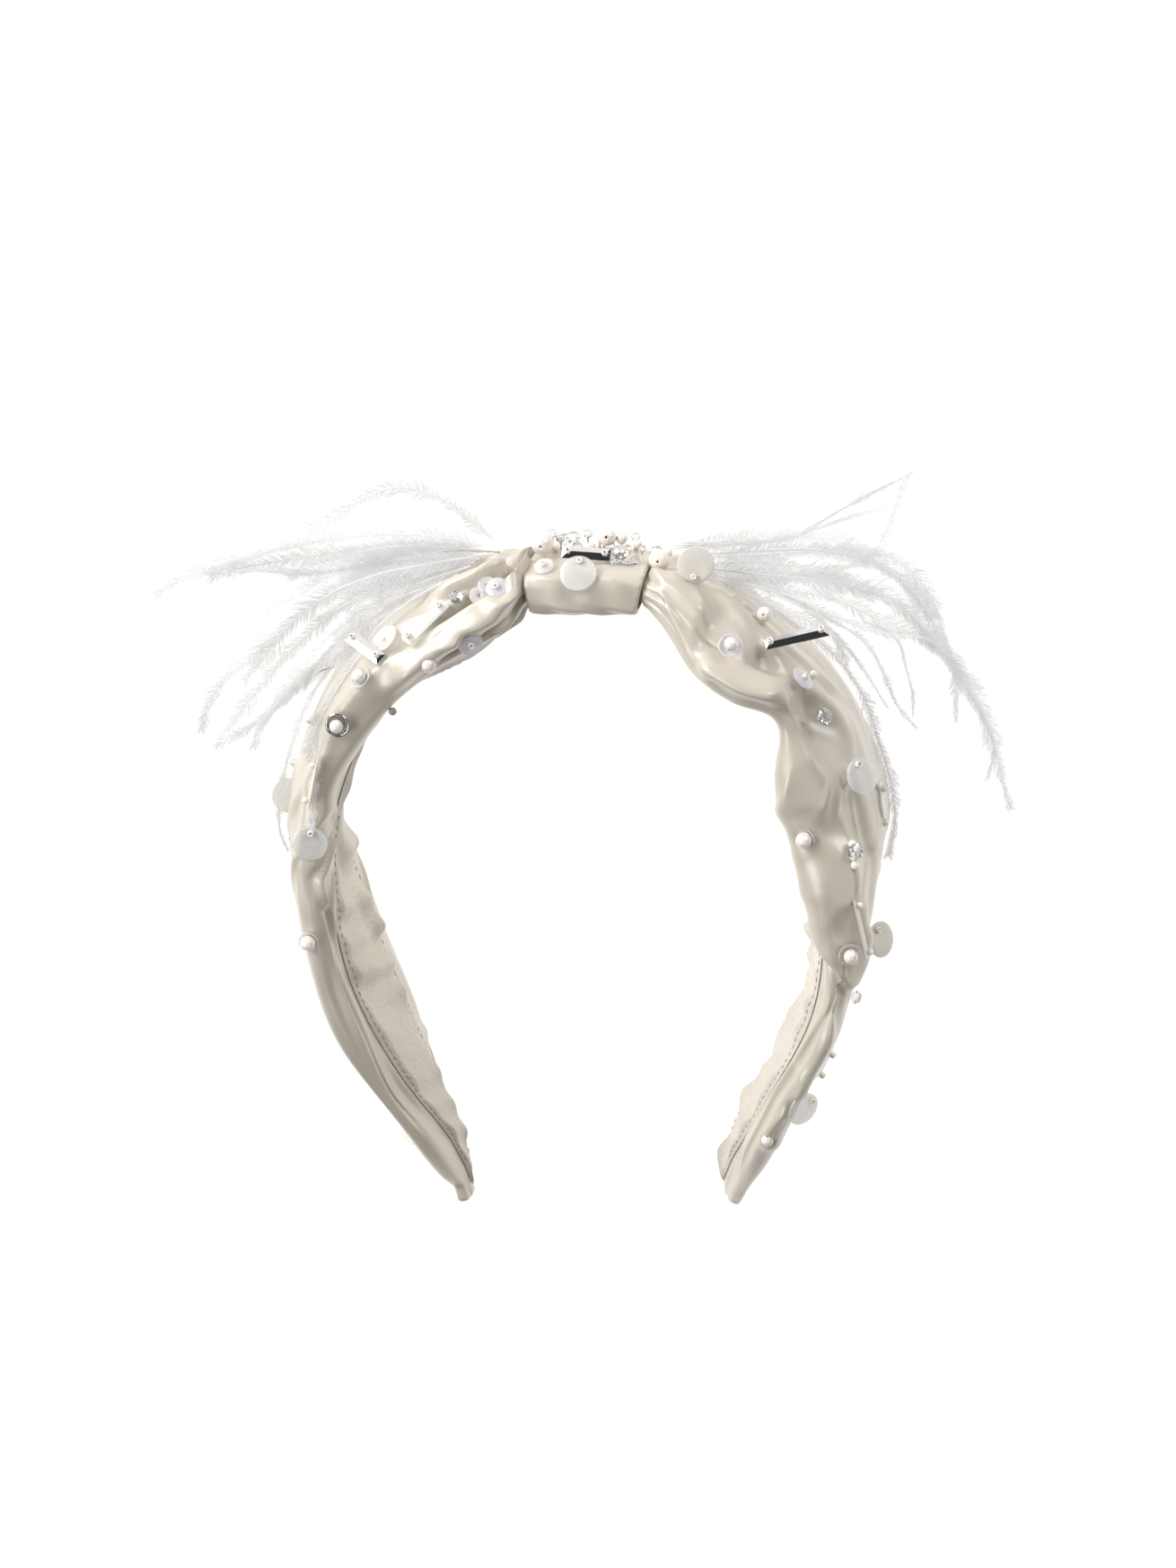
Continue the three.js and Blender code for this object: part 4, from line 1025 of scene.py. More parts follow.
def lining_puckers(along, across):
    """Height of the gathered puckers, aslant across the ribbon."""
    along, across = np.broadcast_arrays(along, across)
    cloth = np.stack([along + PUCKER["slant"] * across, PUCKER["breadth"] * across, 0 * across], -1)
    start, full, end, gone = PUCKERED
    below = 1 - (1 - PUCKER["lower"]) * smooth_step(np.abs(along), end, gone)
    gathered = smooth_step(np.abs(along), start, full) * below
    height = waves(cloth, PUCKER["spacing"], PUCKER["count"], PUCKER["seed"])
    height = height * (PUCKER["calm"] + (1 - PUCKER["calm"]) * gathered)
    return height * (PUCKER["at_front"] + (1 - PUCKER["at_front"]) * across)


def lining_crease(along, degrees):
    """Height of the crease and of the roll behind it."""
    at, turn = np.array(CREASE_COURSE, float).T
    gap = degrees - np.interp(-np.abs(along), at[::-1], turn[::-1])
    start, full, end, gone = CREASED
    reach = smooth_step(np.abs(along), start, full) * (1 - smooth_step(np.abs(along), end, gone))
    roll = CREASE["roll"] * np.exp(-(((gap + CREASE["roll_away"]) / CREASE["roll_breadth"]) ** 2))
    return reach * (roll - CREASE["depth"] * np.exp(-((gap / CREASE["breadth"]) ** 2)))


def lining_place(along, across):
    """Height off the middle line under the lining, its depth, degrees and fullness."""
    from_end = np.minimum(along - LINE_AT[0], LINE_AT[-1] - along) - LINING["end_gap"]
    short = 1 - np.clip(from_end / LINING_END, 0, 1)
    full = np.sqrt(np.clip(1 - short**2, LEAST_FULL, 1))
    front = lining_front(along)
    middle = (front + LINING["rear"]) / 2
    degrees = middle + (LINING["rear"] - front) * (across - 0.5) * full
    return (*cover_place(along, degrees), degrees, full)


def lining_surface(along, across):
    """Points of the lining's two faces: against the cover, and toward the head."""
    height, depth, degrees, full = lining_place(along, across)
    pucker = lining_puckers(along, across)
    sewn = smooth_step(np.minimum(across, 1 - across), 0, LINING["hem_breadth"]) * full
    depth = np.maximum(depth + PUCKER["hem"] * pucker * across**3, LEAST_DEPTH)
    lift = LINING["hem"] + (LINING["lift"] - LINING["hem"]) * sewn
    thick = LINING["hem"] + (LINING["thickness"] - LINING["hem"]) * sewn
    relief = PUCKER["rise"] * pucker + lining_crease(along, degrees)
    rise = thick + sewn * np.maximum(relief, LEAST_THICK - thick)
    return band_point(along, height - lift, depth), band_point(along, height - lift - rise, depth)


def make_lining():
    start, end = LINE_AT[0] + LINING["end_gap"], LINE_AT[-1] - LINING["end_gap"]
    along = np.linspace(start, end, LINING_STATIONS)[:, None]
    across = np.linspace(0, 1, LINING_ACROSS)[None, :]
    outside, inside = lining_surface(along, across)
    ring = np.concatenate([outside, inside[:, ::-1]], 1)
    lining = cloth_piece("crepe_lining", to_frame(ring), CREPE, capped=True)
    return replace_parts(lining, "lining")


# Centre wrap: a satin sleeve, sewn shut near its right edge.
WRAP = {"half_length": 12.4, "depth": 21.8, "thickness": 10.2, "wall": 1.2, "drop": 0.8,
        "fullness": 0.35, "corner": 0.5, "edge": 0.25, "edge_reach": 0.8}
# Its wrinkles, a row each: the height, the count round the sleeve and the turn along it.
WRAP_WRINKLES = [(0.12, 9, 0.5), (0.1, 3, 0.9)]
WRAP_STEPS = 48
WRAP_AROUND = 132


def wrap_place(along, degrees, shrink):
    angle = np.radians(degrees)
    bulge = WRAP["fullness"] * (1 - (along / WRAP["half_length"]) ** 2)
    high = rounded(np.sin(angle), WRAP["corner"])
    height = (WRAP["thickness"] / 2 - shrink + bulge) * high - WRAP["drop"]
    depth = MID_DEPTH + (WRAP["depth"] / 2 - shrink + bulge) * rounded(np.cos(angle), WRAP["corner"])
    return height, depth


def make_wrap():
    degrees = np.linspace(0, 360, WRAP_AROUND, endpoint=False)[None, :]
    out = np.linspace(-1, 1, WRAP_STEPS)[:, None] * WRAP["half_length"]
    inset = np.clip((np.abs(out) - WRAP["half_length"] + WRAP["edge_reach"]) / WRAP["edge_reach"], 0, 1)
    edge = WRAP["edge"] * inset**2
    wrinkle = sum(rise * np.sin(np.radians(degrees) * count + turn * out)
                  for rise, count, turn in WRAP_WRINKLES)
    outer = band_point(out, *wrap_place(out, degrees, edge - wrinkle))
    inner = band_point(out, *wrap_place(out, degrees, WRAP["wall"] + 0 * out))[::-1]
    wrap = cloth_piece("crown_wrap", to_frame(np.concatenate([outer, inner])), SATIN, closed_rows=True)
    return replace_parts(wrap, "center_wrap")


# Plumes: strands of barbs from a bound head. A row per strand: its breadth, its depth at the
# root and at the tip, and its course in millimetres across and up the picture from the pivot.
STRANDS = {
    "plume_left": [
        (4.6, 15, 19, [(-20, 69), (-25, 72.5), (-30, 77), (-36, 80), (-43, 81.5), (-50.5, 79),
         (-57.5, 74.5), (-66.5, 70), (-75.5, 66), (-83.5, 63)]),
        (5.2, 15, 22, [(-21.5, 68), (-31.5, 70), (-43.5, 71), (-59.5, 69.5), (-73.5, 66.5),
         (-84.5, 64), (-92.5, 60.5), (-97, 57.5)]),
        (5, 13, 20, [(-22, 67), (-37.5, 68), (-51.5, 67.5), (-65.5, 65.5), (-77.5, 63.5), (-85, 61.5)]),
        (2.2, 16, 22, [(-23.5, 66), (-37.5, 65.5), (-49.5, 64), (-61.5, 62.5), (-71.5, 63), (-83.5, 62.5)]),
        (4.6, 17, 25, [(-24.5, 65.5), (-37.5, 63.5), (-49.5, 61), (-59.5, 56.5), (-68.5, 50),
         (-76.5, 43), (-82.5, 37.5), (-85.5, 32), (-86.5, 27)]),
        (4.2, 18, 27, [(-25.5, 65), (-37.5, 62), (-47.5, 59), (-57.5, 53), (-66.5, 45), (-73.5, 37),
         (-79, 30), (-84, 23.5)]),
        (4.2, 19, 28, [(-26.5, 64), (-38.5, 60), (-48.5, 55.5), (-57.5, 49), (-64.5, 41), (-70.5, 33),
         (-74, 27), (-75, 23)]),
        (3.6, 18, 26, [(-27.5, 63.5), (-37.5, 59), (-46.5, 53.5), (-54.5, 48), (-61.5, 41),
         (-68.5, 34), (-72, 30), (-73.5, 27.5)]),
        (3.4, 17, 24, [(-28.5, 63), (-37.5, 58), (-45.5, 52), (-52.5, 47), (-59.5, 41.5), (-65.5, 37),
         (-71.5, 31), (-77.5, 27), (-83.5, 23.5)]),
        (6.4, 19, 24, [(-23.5, 66.5), (-35.5, 64.5), (-47.5, 62), (-57.5, 58), (-65.5, 52),
         (-71.5, 45), (-77.5, 38)]),
        (2.6, 24, 43, [(-29.5, 62), (-39.5, 56.5), (-47.5, 50), (-51.5, 43), (-54.5, 35), (-58.5, 24),
         (-61, 14), (-62, 5)]),
        (2.2, 20, 30, [(-43.5, 52), (-52.5, 46), (-59.5, 39), (-64, 31), (-67, 22), (-69, 12),
         (-69, 5), (-67, 0)]),
        (0.5, 22, 22, [(-57, 41.5), (-60, 40.5), (-62, 39), (-64.5, 38)]),
        (0.5, 20, 20, [(-20, 67), (-25, 67.3), (-30, 67.3), (-34, 67)]),
        (4.4, 22, 24, [(-47.5, 52), (-51.5, 50), (-57, 45.5), (-61, 41), (-64, 36.5)]),
    ],
    "plume_right": [
        (4.4, 14, 20, [(19, 69), (28.5, 69.5), (40.5, 71), (52.5, 70), (62.5, 67.5), (69.5, 64.5),
         (74.5, 59.5), (77.5, 53.5), (79, 48.5), (80.5, 43.5)]),
        (1.6, 13, 16, [(18.5, 68.5), (32.5, 69), (44.5, 70), (53.5, 75), (61.5, 79.5), (68.5, 83),
         (72.5, 85)]),
        (1.4, 13, 16, [(19, 68), (34.5, 69), (46.5, 71), (58.5, 75), (69.5, 78)]),
        (3.4, 15, 18, [(22.5, 64.5), (33.5, 61), (42.5, 61), (51.5, 62.5), (59.5, 64.5), (64, 67.5),
         (66.5, 72), (68, 77), (69.5, 81), (71, 84)]),
        (4.6, 15, 22, [(22.5, 66), (36.5, 66.5), (48.5, 67), (60.5, 65.5), (68.5, 61.5), (74.5, 55),
         (78.5, 47), (83, 40.5), (88, 36)]),
        (4.6, 16, 22, [(24.5, 63.5), (38.5, 62), (52.5, 60.5), (62.5, 58), (71.5, 53), (78, 45.5),
         (83.5, 37), (87.5, 31), (90, 23), (88.5, 16.5)]),
        (4.6, 17, 23, [(28.5, 62), (42.5, 59), (54.5, 56.5), (64.5, 52), (74.5, 47.5), (81.5, 41),
         (87, 33), (90, 24), (92, 16), (94, 9)]),
        (3.2, 18, 24, [(34.5, 60), (46.5, 56.5), (56.5, 52), (65.5, 49), (76.5, 47), (80.5, 43),
         (81.5, 35), (81.5, 29)]),
        (1.4, 19, 25, [(40.5, 58), (48.5, 54), (54.5, 49), (59.5, 43), (63.5, 37), (66.5, 32)]),
        (1.8, 18, 24, [(42.5, 58), (53.5, 52), (61.5, 47), (65.5, 40), (68.5, 33), (73, 27.5)]),
        (1.4, 16, 22, [(60.5, 52), (68.5, 47.5), (70.5, 41), (72, 35), (72, 30)]),
        (3.4, 12, 20, [(32.5, 59), (44.5, 52), (54.5, 44), (61, 35), (64, 26), (67, 16), (68, 9),
         (66.5, -1)]),
        (5.6, 14, 20, [(26.5, 64.5), (40.5, 64.5), (54.5, 62), (65.5, 58), (72.5, 52), (76.5, 46)]),
        (4, 20, 25, [(28.5, 61), (40.5, 55.5), (48.5, 52), (55.5, 47), (57.5, 41)]),
    ],
}
COURSE_STEP = 1.0
FINE_STEPS = 40
BARB = {"every": 0.15, "breadth": 0.1, "spread": (56.0, 36.0), "unruly": 0.16, "lean": 0.16,
        "length": (0.7, 1.15), "bend_at": 0.55, "bend": 0.45, "stray": 1.2, "bare": 0.1}
# Where a strand starts to thin out, and by how much.
STRAND_END = {"from": 0.8, "thinner": 0.45}
# Barbs cling together in clumps, a row per kind: how much, and how many along a strand.
CLUMPS = [(0.3, (18, 30)), (0.2, (50, 80))]
CLUMP_PHASES = (0, 6)
VANE_ROLL = {"any": 0.25, "swing": 0.45, "turns": (0.5, 1.4)}
SHAFT = {"root": 0.16, "tip": 0.05, "every": 7, "sides": 4}
# Fillers lie between two strands that are broader than "between".
FILLERS = {"plume_left": 6, "plume_right": 2, "between": 4, "deep": 7.0, "length": (0.4, 0.85),
           "breadth": (4.0, 6.5), "knots": 7, "mix": (0.2, 0.8), "depths": (3, 40)}
FEATHER_GAP = 0.7
# A strand no broader than this is a bare quill.
QUILL_BREADTH = 1
BARB_POINTS = 5


def even_path(knots, step):
    """Points a step apart along a smooth curve through the knots."""
    reach = run_along(knots)
    slopes = np.gradient(knots, reach, axis=0)
    at = np.linspace(0, reach[-1], FINE_STEPS * len(knots))
    fine = np.stack([smooth_curve(reach, *pair, at) for pair in zip(knots.T, slopes.T)], -1)
    run = run_along(fine)
    return at_run(fine, run, np.arange(0, run[-1], step))


def clear_of_cover(points):
    """Points moved off the cover's outside where they would run into it."""
    flat = points[:, :2]
    k = ((LINE[None] - flat[:, None]) ** 2).sum(2).argmin(1)
    along = LINE_AT[k]
    out = np.stack([-LINE_AHEAD[k, 1], LINE_AHEAD[k, 0]], -1)
    height = ((flat - LINE[k]) * out).sum(1) - crown_ease(along)
    rear, front = cover_at("rear_z", along), cover_at("front_z", along)
    share = np.clip(2 * (points[:, 2] - rear) / (front - rear) - 1, -1, 1)
    degrees = np.degrees(np.arccos(np.sign(share) * np.abs(share) ** (1 / CORNER)))
    short = np.maximum(cover_place(along, degrees)[0] + FEATHER_GAP - height, 0)
    short = short * (points[:, 2] < front + FEATHER_GAP)
    moved = points.copy()
    moved[:, :2] += out * short[:, None]
    return moved


def strand_frame(path, draw):
    """The way ahead along a strand, and its vane's breadth and thickness, slowly rolling."""
    share = np.linspace(0, 1, len(path))
    ahead = unit(np.gradient(path, axis=0))
    flat = unit(np.cross(TO_VIEWER, ahead))
    up = np.cross(ahead, flat)
    roll = draw.normal(0, VANE_ROLL["any"])
    turns = share * draw.uniform(*VANE_ROLL["turns"])
    roll = roll + VANE_ROLL["swing"] * np.sin(2 * math.pi * (turns + draw.uniform()))
    breadth = np.cos(roll)[:, None] * flat + np.sin(roll)[:, None] * up
    return ahead, breadth, np.cross(ahead, breadth)


def strand_barbs(path, breadth, draw):
    """Barbs on both sides of a strand, as ribbons of a quad and a pointed tip."""
    count = len(path)
    share = np.linspace(0, 1, count)
    ahead, across, through = strand_frame(path, draw)
    profile = smooth_step(share, 0.0, BARB["bare"])
    profile = profile * (1 - STRAND_END["thinner"] * smooth_step(share, STRAND_END["from"], 1))
    clumps = 1
    for much, many in CLUMPS:
        clumps = clumps * (1 + much * np.sin(share * draw.uniform(*many) + draw.uniform(*CLUMP_PHASES)))
    first, last = BARB["spread"]
    points = []
    for side in (-1, 1):
        spread = np.radians(first + (last - first) * share)
        angle = spread + draw.normal(0, BARB["unruly"], count)
        length = breadth / 2 * profile * clumps * draw.uniform(*BARB["length"], count) / np.sin(spread)
        lean = draw.normal(0, BARB["lean"], count)[:, None] * through
        way = unit(np.cos(angle)[:, None] * ahead + side * np.sin(angle)[:, None] * across + lean)
        later = unit(way + BARB["bend"] * ahead + BARB["stray"] * lean)
        middle = path + way * (BARB["bend_at"] * length)[:, None]
        tip = middle + later * ((1 - BARB["bend_at"]) * length)[:, None]
        wide = np.cross(through, way) * BARB["breadth"] / 2
        points.append(np.stack([path - wide, path + wide, middle + wide, middle - wide, tip], 1))
    return np.concatenate(points).reshape(-1, 3)


def strand_shaft(path, draw):
    """Rings of the strand's shaft."""
    path = np.concatenate([path[:: SHAFT["every"]], path[-1:]])
    _, across, through = strand_frame(path, draw)
    radius = np.linspace(SHAFT["root"], SHAFT["tip"], len(path))[:, None, None]
    angle = round_angles(SHAFT["sides"])[None, :, None]
    return path[:, None] + radius * (np.cos(angle) * across[:, None] + np.sin(angle) * through[:, None])


def strand_courses(node, draw):
    """The drawn strands, then fillers between pairs of the broader ones."""
    drawn = []
    for breadth, root, tip, course in STRANDS[node]:
        across, up = np.array(course, float).T
        depth = np.linspace(root, tip, len(course))
        drawn.append((breadth, even_path(seen_at(across, up, depth), COURSE_STEP)))
    broad = [path for breadth, path in drawn if breadth > FILLERS["between"]]
    for _ in range(FILLERS[node]):
        first, second = (broad[k] for k in draw.choice(len(broad), 2, replace=False))
        knots = np.linspace(0, draw.uniform(*FILLERS["length"]), FILLERS["knots"])
        pair = [path[(knots * (len(path) - 1)).astype(int)] for path in (first, second)]
        mix = draw.uniform(*FILLERS["mix"])
        course = pair[0] * mix + pair[1] * (1 - mix)
        course[:, 2] += draw.uniform(-1, 1) * FILLERS["deep"] * knots
        course[:, 2] = np.clip(course[:, 2], *FILLERS["depths"])
        drawn.append((draw.uniform(*FILLERS["breadth"]), course))
    return drawn


def make_plume(name, node, seed):
    draw = np.random.default_rng(seed)
    barbs, shafts, shaft_looks = [], [], []
    for breadth, course in strand_courses(node, draw):
        path = clear_of_cover(even_path(course, BARB["every"]))
        barbs.append(strand_barbs(path, breadth, draw))
        rings = strand_shaft(path, draw)
        shafts.append((rings.reshape(-1, 3), grid_faces(len(rings), SHAFT["sides"])[0]))
        shaft_looks += [1 if breadth > QUILL_BREADTH else 2] * len(shafts[-1][1])
    points = np.concatenate(barbs)
    start = np.arange(0, len(points), BARB_POINTS)[:, None]
    faces = (start + [0, 1, 2, 3]).tolist() + (start + [3, 2, 4]).tolist()
    shaft_points, shaft_faces = joined(shafts)
    shaft_faces = [[corner + len(points) for corner in face] for face in shaft_faces]
    looks = [0] * len(faces) + shaft_looks
    plume = make_piece(name, to_frame(np.concatenate([points, shaft_points])), faces + shaft_faces,
                       [BARBS, SHAFTS, QUILL], smooth=False, face_material=looks)
    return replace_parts(plume, node)


# Small trimmings of the picture by what they are sewn on, a row each: the form, the size, the
# seat along and in degrees, and how far a thread stem lifts it off.
SMALL_TRIMS = {
    "wrap": [
        ("clear", 8.0, -11.0, 108, 2.2),
        ("crystal", 2.4, -8.6, 112, 2.6),
        ("crystal", 2.0, -6.8, 106, 1.8),
        ("crystal", 3.2, -4.2, 108, 1.4),
        ("crystal", 2.2, -1.4, 112, 2.4),
        ("clear", 3.6, 1.0, 112, 3.4),
        ("bead", 3.0, 2.0, 106, 1.2),
        ("bead", 2.5, 5.6, 106, 1.4),
        ("crystal", 2.2, 8.2, 110, 2.2),
        ("bead", 2.0, 8.8, 104, 0.8),
        ("crystal", 1.8, 10.0, 98, 0.6),
        ("crystal", 3.4, 5.4, 84, 0.0),
        ("clear", 3.0, 8.2, 84, 0.2),
        ("crystal", 2.2, 9.6, 86, 0.2),
        ("crystal", 2.0, -10.2, 96, 0.4),
        ("bead", 1.8, -7.6, 98, 0.2),
        ("crystal", 2.2, -3.0, 98, 0.2),
        ("bead", 2.0, -0.4, 98, 0.2),
        ("crystal", 2.2, 3.6, 98, 0.4),
        ("crystal", 2.0, 7.0, 98, 0.2),
    ],
    "cover": [
        ("crystal", 2.8, 13.6, 118, 1.6),
        ("bead", 2.0, 15.4, 112, 1.0),
        ("clear", 6.0, 25.0, 108, 0.8),
        ("clear", 4.0, -22.0, 46, 0.4),
        ("clear", 4.0, -20.0, 52, 0.4),
        ("clear", 7.0, -43.5, 48, 0.8),
        ("smoky", 1.8, -54.0, -44, 0.0),
        ("bead", 1.6, 151.5, 84, 0.0),
        ("bead", 1.8, 52.0, 80, 0.0),
        ("crystal", 2.0, -80.0, 71, 0.0),
        ("bead", 1.5, -95.5, 65, 0.0),
        ("bead", 1.5, -107.0, 67, 0.0),
        ("smoky", 1.6, -87.0, -5, 0.0),
        ("bead", 1.6, 80.5, 90, 0.0),
        ("bead", 1.6, 89.0, 91, 0.0),
        ("bead", 1.8, 85.5, 21, 0.0),
        ("bead", 2.0, 90.5, 20, 0.0),
        ("smoky", 1.6, 99.0, 13, 0.0),
    ],
}
SMALL_LOOKS = {"crystal": (CRYSTAL, "crystal"), "bead": (PEARL, "pearl"),
               "clear": (CLEAR, "clear_sequin"), "smoky": (SMOKY, "crystal")}
SMALL_CRYSTAL_HEIGHT = 0.75
SMALL_SEQUIN = {"thickness": 0.3, "hole": 0.8, "hole_at": 0.0, "dish": 0.2}
BEAD_SINK = 0.1
# Pearls that sit in a clear cup, and the cup's breadth.
CUPPED = {"pearl_crown_left_2": 5.0, "pearl_crown_left_3": 4.4, "pearl_ear_left": 4.6,
          "pearl_cheek_right": 4.6}
CUP_BELOW = 0.2
STEM = {"radius": 0.22, "to_bore": 9, "sunk": 0.5, "past": 0.2, "sides": 8}
# Steps along and in degrees that tell which way a surface faces.
PROBE = (0.2, 1.0)
# A way that no small trimming faces.
ASIDE = (0.3, 0.2, 1.0)


def wrap_point(along, degrees):
    return band_point(along, *wrap_place(along, degrees, 0))


def sewn_at(surface, along, degrees):
    """A spot on a surface and the way out of it."""
    spot = surface(np.array(along), np.array(degrees))
    ahead = surface(np.array(along + PROBE[0]), np.array(degrees)) - spot
    round_way = surface(np.array(along), np.array(degrees + PROBE[1])) - spot
    return spot, unit(np.cross(ahead, round_way))


def stood(points, spot, out):
    """Points modelled facing Z, stood on a spot facing out."""
    side = unit(np.cross(out, ASIDE))
    return spot + points @ np.stack([side, np.cross(out, side), out])


def small_form(form, size):
    if form == "crystal":
        return crystal_shape(size, SMALL_CRYSTAL_HEIGHT * size)
    if form == "clear":
        return round_plate(size, **SMALL_SEQUIN)
    points, faces = pearl_shape(size)
    return points + [0, 0, size / 2 - BEAD_SINK], faces


def stem_shape(lift):
    """A stem of thread, sunk into the cloth and reaching a little past the lift."""
    r, low, high = STEM["radius"], -STEM["sunk"], lift + STEM["past"]
    bore = r / STEM["to_bore"]
    return turned([(bore, low), (r, low), (r, high), (bore, high)], STEM["sides"])


def sew_small_trimmings():
    parts = {form: [] for form in SMALL_LOOKS}
    stems = []
    for host, surface in (("wrap", wrap_point), ("cover", cover_point)):
        for form, size, along, degrees, lift in SMALL_TRIMS[host]:
            spot, out = sewn_at(surface, along, degrees)
            points, faces = small_form(form, size)
            parts[form].append((stood(points, spot + out * lift, out), faces))
            if lift:
                points, faces = stem_shape(lift)
                stems.append((stood(points, spot, out), faces))
    for node, breadth in CUPPED.items():
        seat = Seat(node)
        middle = (seat.middle - ORIGIN) / MM
        out = unit(middle - cover_spot(middle))
        points, faces = cup_shape()
        base = middle - out * (seat.sizes[0] / MM / 2 + CUP_BELOW)
        parts["clear"].append((stood(points * breadth / CUP["diameter"], base, out), faces))
    for form, (material, slot) in SMALL_LOOKS.items():
        points, faces = joined(parts[form])
        name = "small_" + form + "_trims"
        piece = make_piece(name, to_frame(points), faces, [material], smooth=form != "crystal")
    return stems


SPOTS = {"along": (-196, 196, 500), "degrees": 3.0}


def cover_spot(point):
    """The spot of the cover nearest to a point."""
    along = np.linspace(*SPOTS["along"])[:, None]
    spots = cover_point(along, np.arange(-180, 180, SPOTS["degrees"])[None, :]).reshape(-1, 3)
    return spots[((spots - point) ** 2).sum(1).argmin()]


# Stitches: along both edges of the lining on the legs and down the wrap's seam. Those of the
# lining run from above its ends up to some way from the crown, at shares of its breadth.
STITCH = {"length": 1.3, "gap": 0.9, "radius": 0.13, "arch": 0.14, "ends": 0.35}
STITCH_RINGS = 5
STITCH_SIDES = 6
HEM_STITCHES = {"from_end": 9, "to": 88, "edges": (0.07, 0.93), "steps": 500}
SEAM = {"along": 11.9, "from": -40, "to": 150, "steps": 300, "sunk": 0.1, "above": -1.0}


def stitches(line, out):
    """Short rounded stitches along a line of points, raised a little outward."""
    run = run_along(line)
    share = np.linspace(0, 1, STITCH_RINGS)
    arch = np.sin(share * math.pi)
    angle = round_angles(STITCH_SIDES)
    thick = STITCH["radius"] * (STITCH["ends"] + (1 - STITCH["ends"]) * arch)
    faces = grid_faces(STITCH_RINGS, STITCH_SIDES)[0].tolist()
    first = list(range(STITCH_SIDES))
    faces += [first[::-1], [corner + STITCH_SIDES * (STITCH_RINGS - 1) for corner in first]]
    rows = []
    for start in np.arange(0, run[-1] - STITCH["length"], STITCH["length"] + STITCH["gap"]):
        at = start + STITCH["length"] * share
        spine = at_run(line, run, at)
        up = unit(at_run(out, run, at))
        side = np.cross(unit(np.gradient(spine, axis=0)), up)
        spine = spine + up * (STITCH["arch"] * arch)[:, None]
        spokes = np.cos(angle)[None, :, None] * side[:, None] + np.sin(angle)[None, :, None] * up[:, None]
        rows.append(((spine[:, None] + thick[:, None, None] * spokes).reshape(-1, 3), faces))
    return rows


def sew_stitches(stems):
    rows = list(stems)
    from_end, to = HEM_STITCHES["from_end"], HEM_STITCHES["to"]
    for start, end in ((LINE_AT[0] + from_end, -to), (to, LINE_AT[-1] - from_end)):
        along = np.linspace(start, end, HEM_STITCHES["steps"])[:, None]
        outside, inside = lining_surface(along, np.array([HEM_STITCHES["edges"]]))
        for edge in (0, 1):
            rows += stitches(inside[:, edge], unit(inside[:, edge] - outside[:, edge]))
    degrees = np.linspace(SEAM["from"], SEAM["to"], SEAM["steps"])
    seam = band_point(SEAM["along"], *wrap_place(SEAM["along"], degrees, SEAM["sunk"]))
    above = band_point(SEAM["along"], *wrap_place(SEAM["along"], degrees, SEAM["above"]))
    rows += stitches(seam, unit(above - seam))
    points, faces = joined(rows)
    make_piece("stitches", to_frame(points), faces, [THREAD])


make_cover()
make_lining()
make_wrap()
make_plume("feathers_left", "plume_left", seed=21)
make_plume("feathers_right", "plume_right", seed=22)
sew_trimmings()
sew_seed_beads()
sew_stitches(sew_small_trimmings())

# Camera, lights and floor.
PICTURE = (1310, 1746)
PIVOT_PIXEL = (657, 950)
PIXELS_PER_MM = 5.0
SENSOR = 24.0
CLIP_START = 0.01
FLOOR_HALF = 3.0
FLOOR_BELOW = 0.0002
WORLD_STRENGTH = 0.05
# Each light's place in metres from the pivot along the frame's axes, and its power.
LIGHTS = {
    "front": ((-1.1, -0.3, 1.4), 13),
    "side": ((-1.21, 1.28, 0.36), 18),
    "left": ((-1.1, 1.0, 1.0), 17),
    "right": ((1.1, 1.25, 0.65), 13),
    "low": ((0.9, -0.5, 1.4), 3.5),
}
LIGHT_SIZE = 0.8
LIGHT_COLOUR = (0.98, 0.99, 1.0)


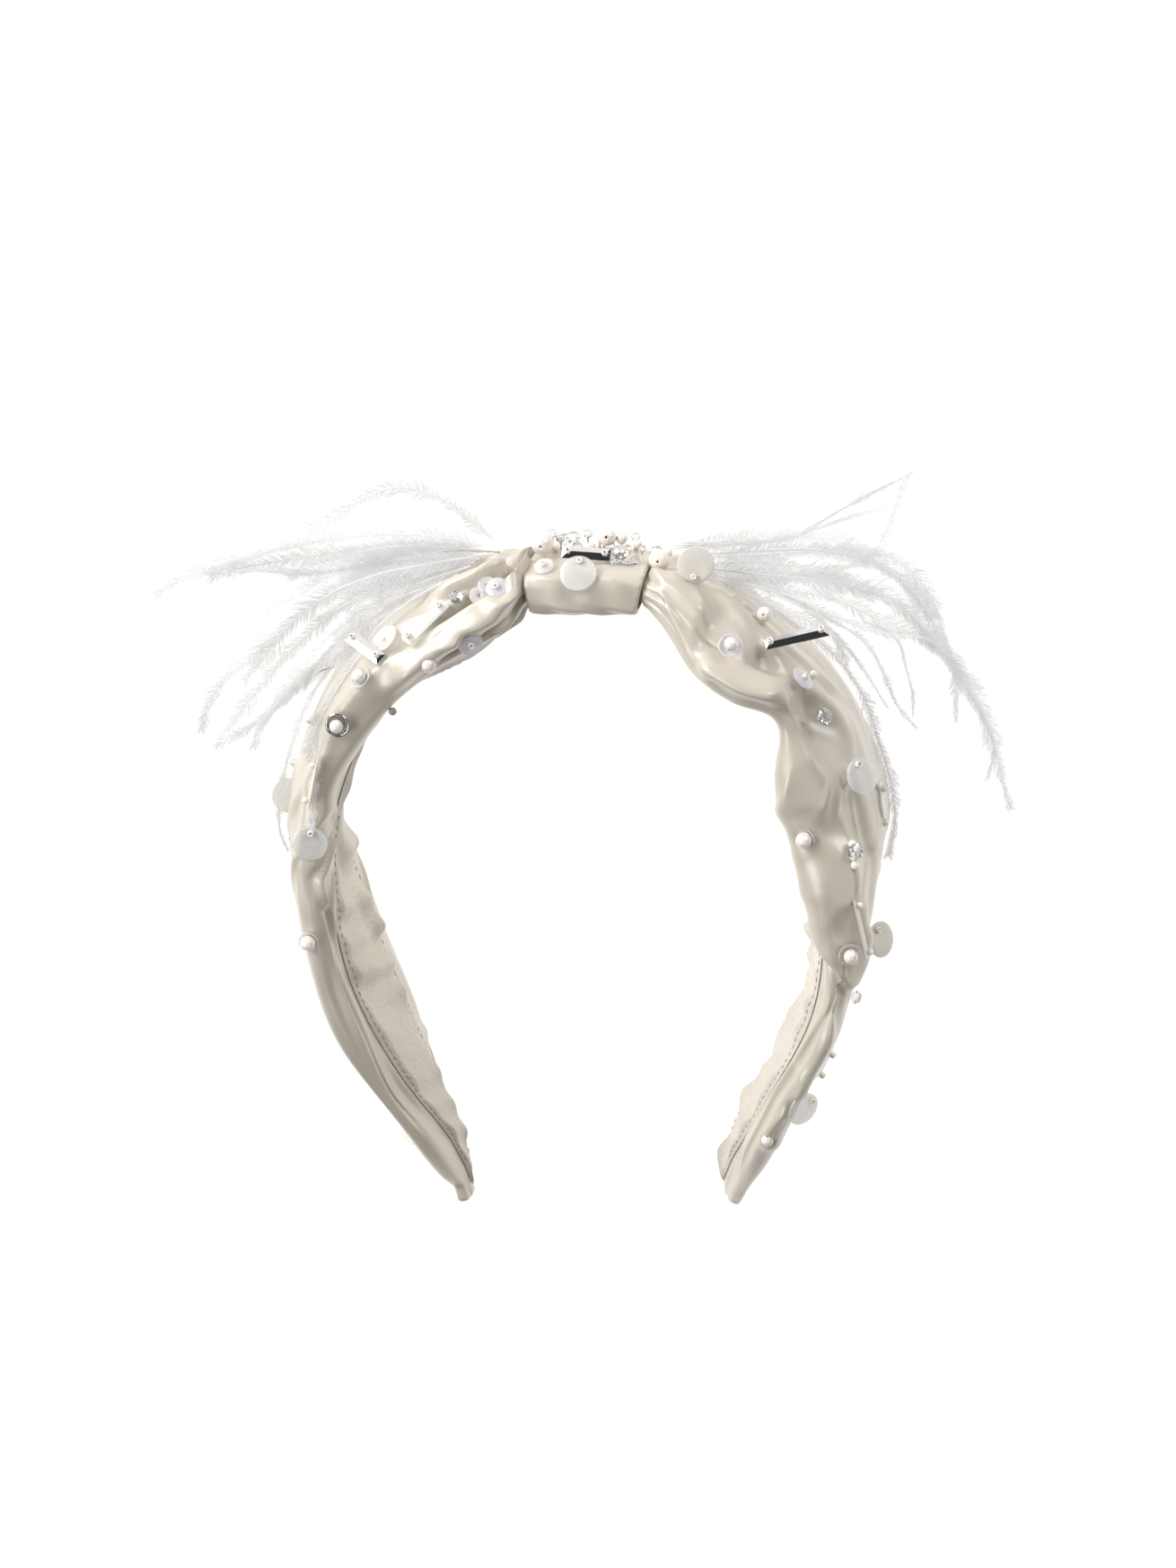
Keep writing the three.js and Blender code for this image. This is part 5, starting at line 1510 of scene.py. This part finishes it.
def set_camera():
    lens = bpy.data.cameras.new("camera")
    lens.sensor_fit = "VERTICAL"
    lens.sensor_height = SENSOR
    lens.lens = SENSOR * VIEW_DISTANCE * PIXELS_PER_MM / PICTURE[1]
    lens.shift_x = (PICTURE[0] / 2 - PIVOT_PIXEL[0]) / PICTURE[1]
    lens.shift_y = (PIVOT_PIXEL[1] - PICTURE[1] / 2) / PICTURE[1]
    lens.clip_start = CLIP_START
    camera = bpy.data.objects.new("camera", lens)
    turn = Matrix(np.stack([RIGHT, UP, TO_VIEWER]).tolist()).transposed().to_4x4()
    camera.matrix_world = Matrix.Translation(to_frame(PIVOT + TO_VIEWER * VIEW_DISTANCE)) @ turn
    bpy.context.scene.collection.objects.link(camera)
    bpy.context.scene.camera = camera


def add_light(name, place, power):
    """A soft square light aimed at the pivot."""
    lamp = bpy.data.lights.new(name, "AREA")
    lamp.shape = "SQUARE"
    lamp.size = LIGHT_SIZE
    lamp.energy = power
    lamp.color = LIGHT_COLOUR
    light = bpy.data.objects.new(name, lamp)
    light.location = Vector(place) + Vector(to_frame(PIVOT))
    light.rotation_euler = Vector(place).to_track_quat("Z", "Y").to_euler()
    bpy.context.scene.collection.objects.link(light)


def set_stage():
    mesh = bpy.data.meshes.new("floor")
    corners = [(x * FLOOR_HALF, y * FLOOR_HALF, 0) for x, y in ((-1, -1), (1, -1), (1, 1), (-1, 1))]
    mesh.from_pydata(corners, [], [(0, 1, 2, 3)])
    floor = bpy.data.objects.new("floor", mesh)
    floor.location.z = -FLOOR_BELOW
    paper = Finish("floor_paper", {"Base Color": (0.12, 0.12, 0.12), "Roughness": 0.9,
                                   "Specular IOR Level": 0.0, "Emission Color": (1.0, 0.975, 0.945),
                                   "Emission Strength": 1.07})
    mesh.materials.append(paper.material)
    bpy.context.scene.collection.objects.link(floor)
    world = bpy.data.worlds.new("studio")
    world.use_nodes = True
    background = world.node_tree.nodes["Background"].inputs
    background["Color"].default_value = (1, 1, 1, 1)
    background["Strength"].default_value = WORLD_STRENGTH
    bpy.context.scene.world = world
    bpy.context.scene.view_settings.view_transform = "Standard"
    for name, (place, power) in LIGHTS.items():
        add_light(name, place, power)


set_camera()
set_stage()
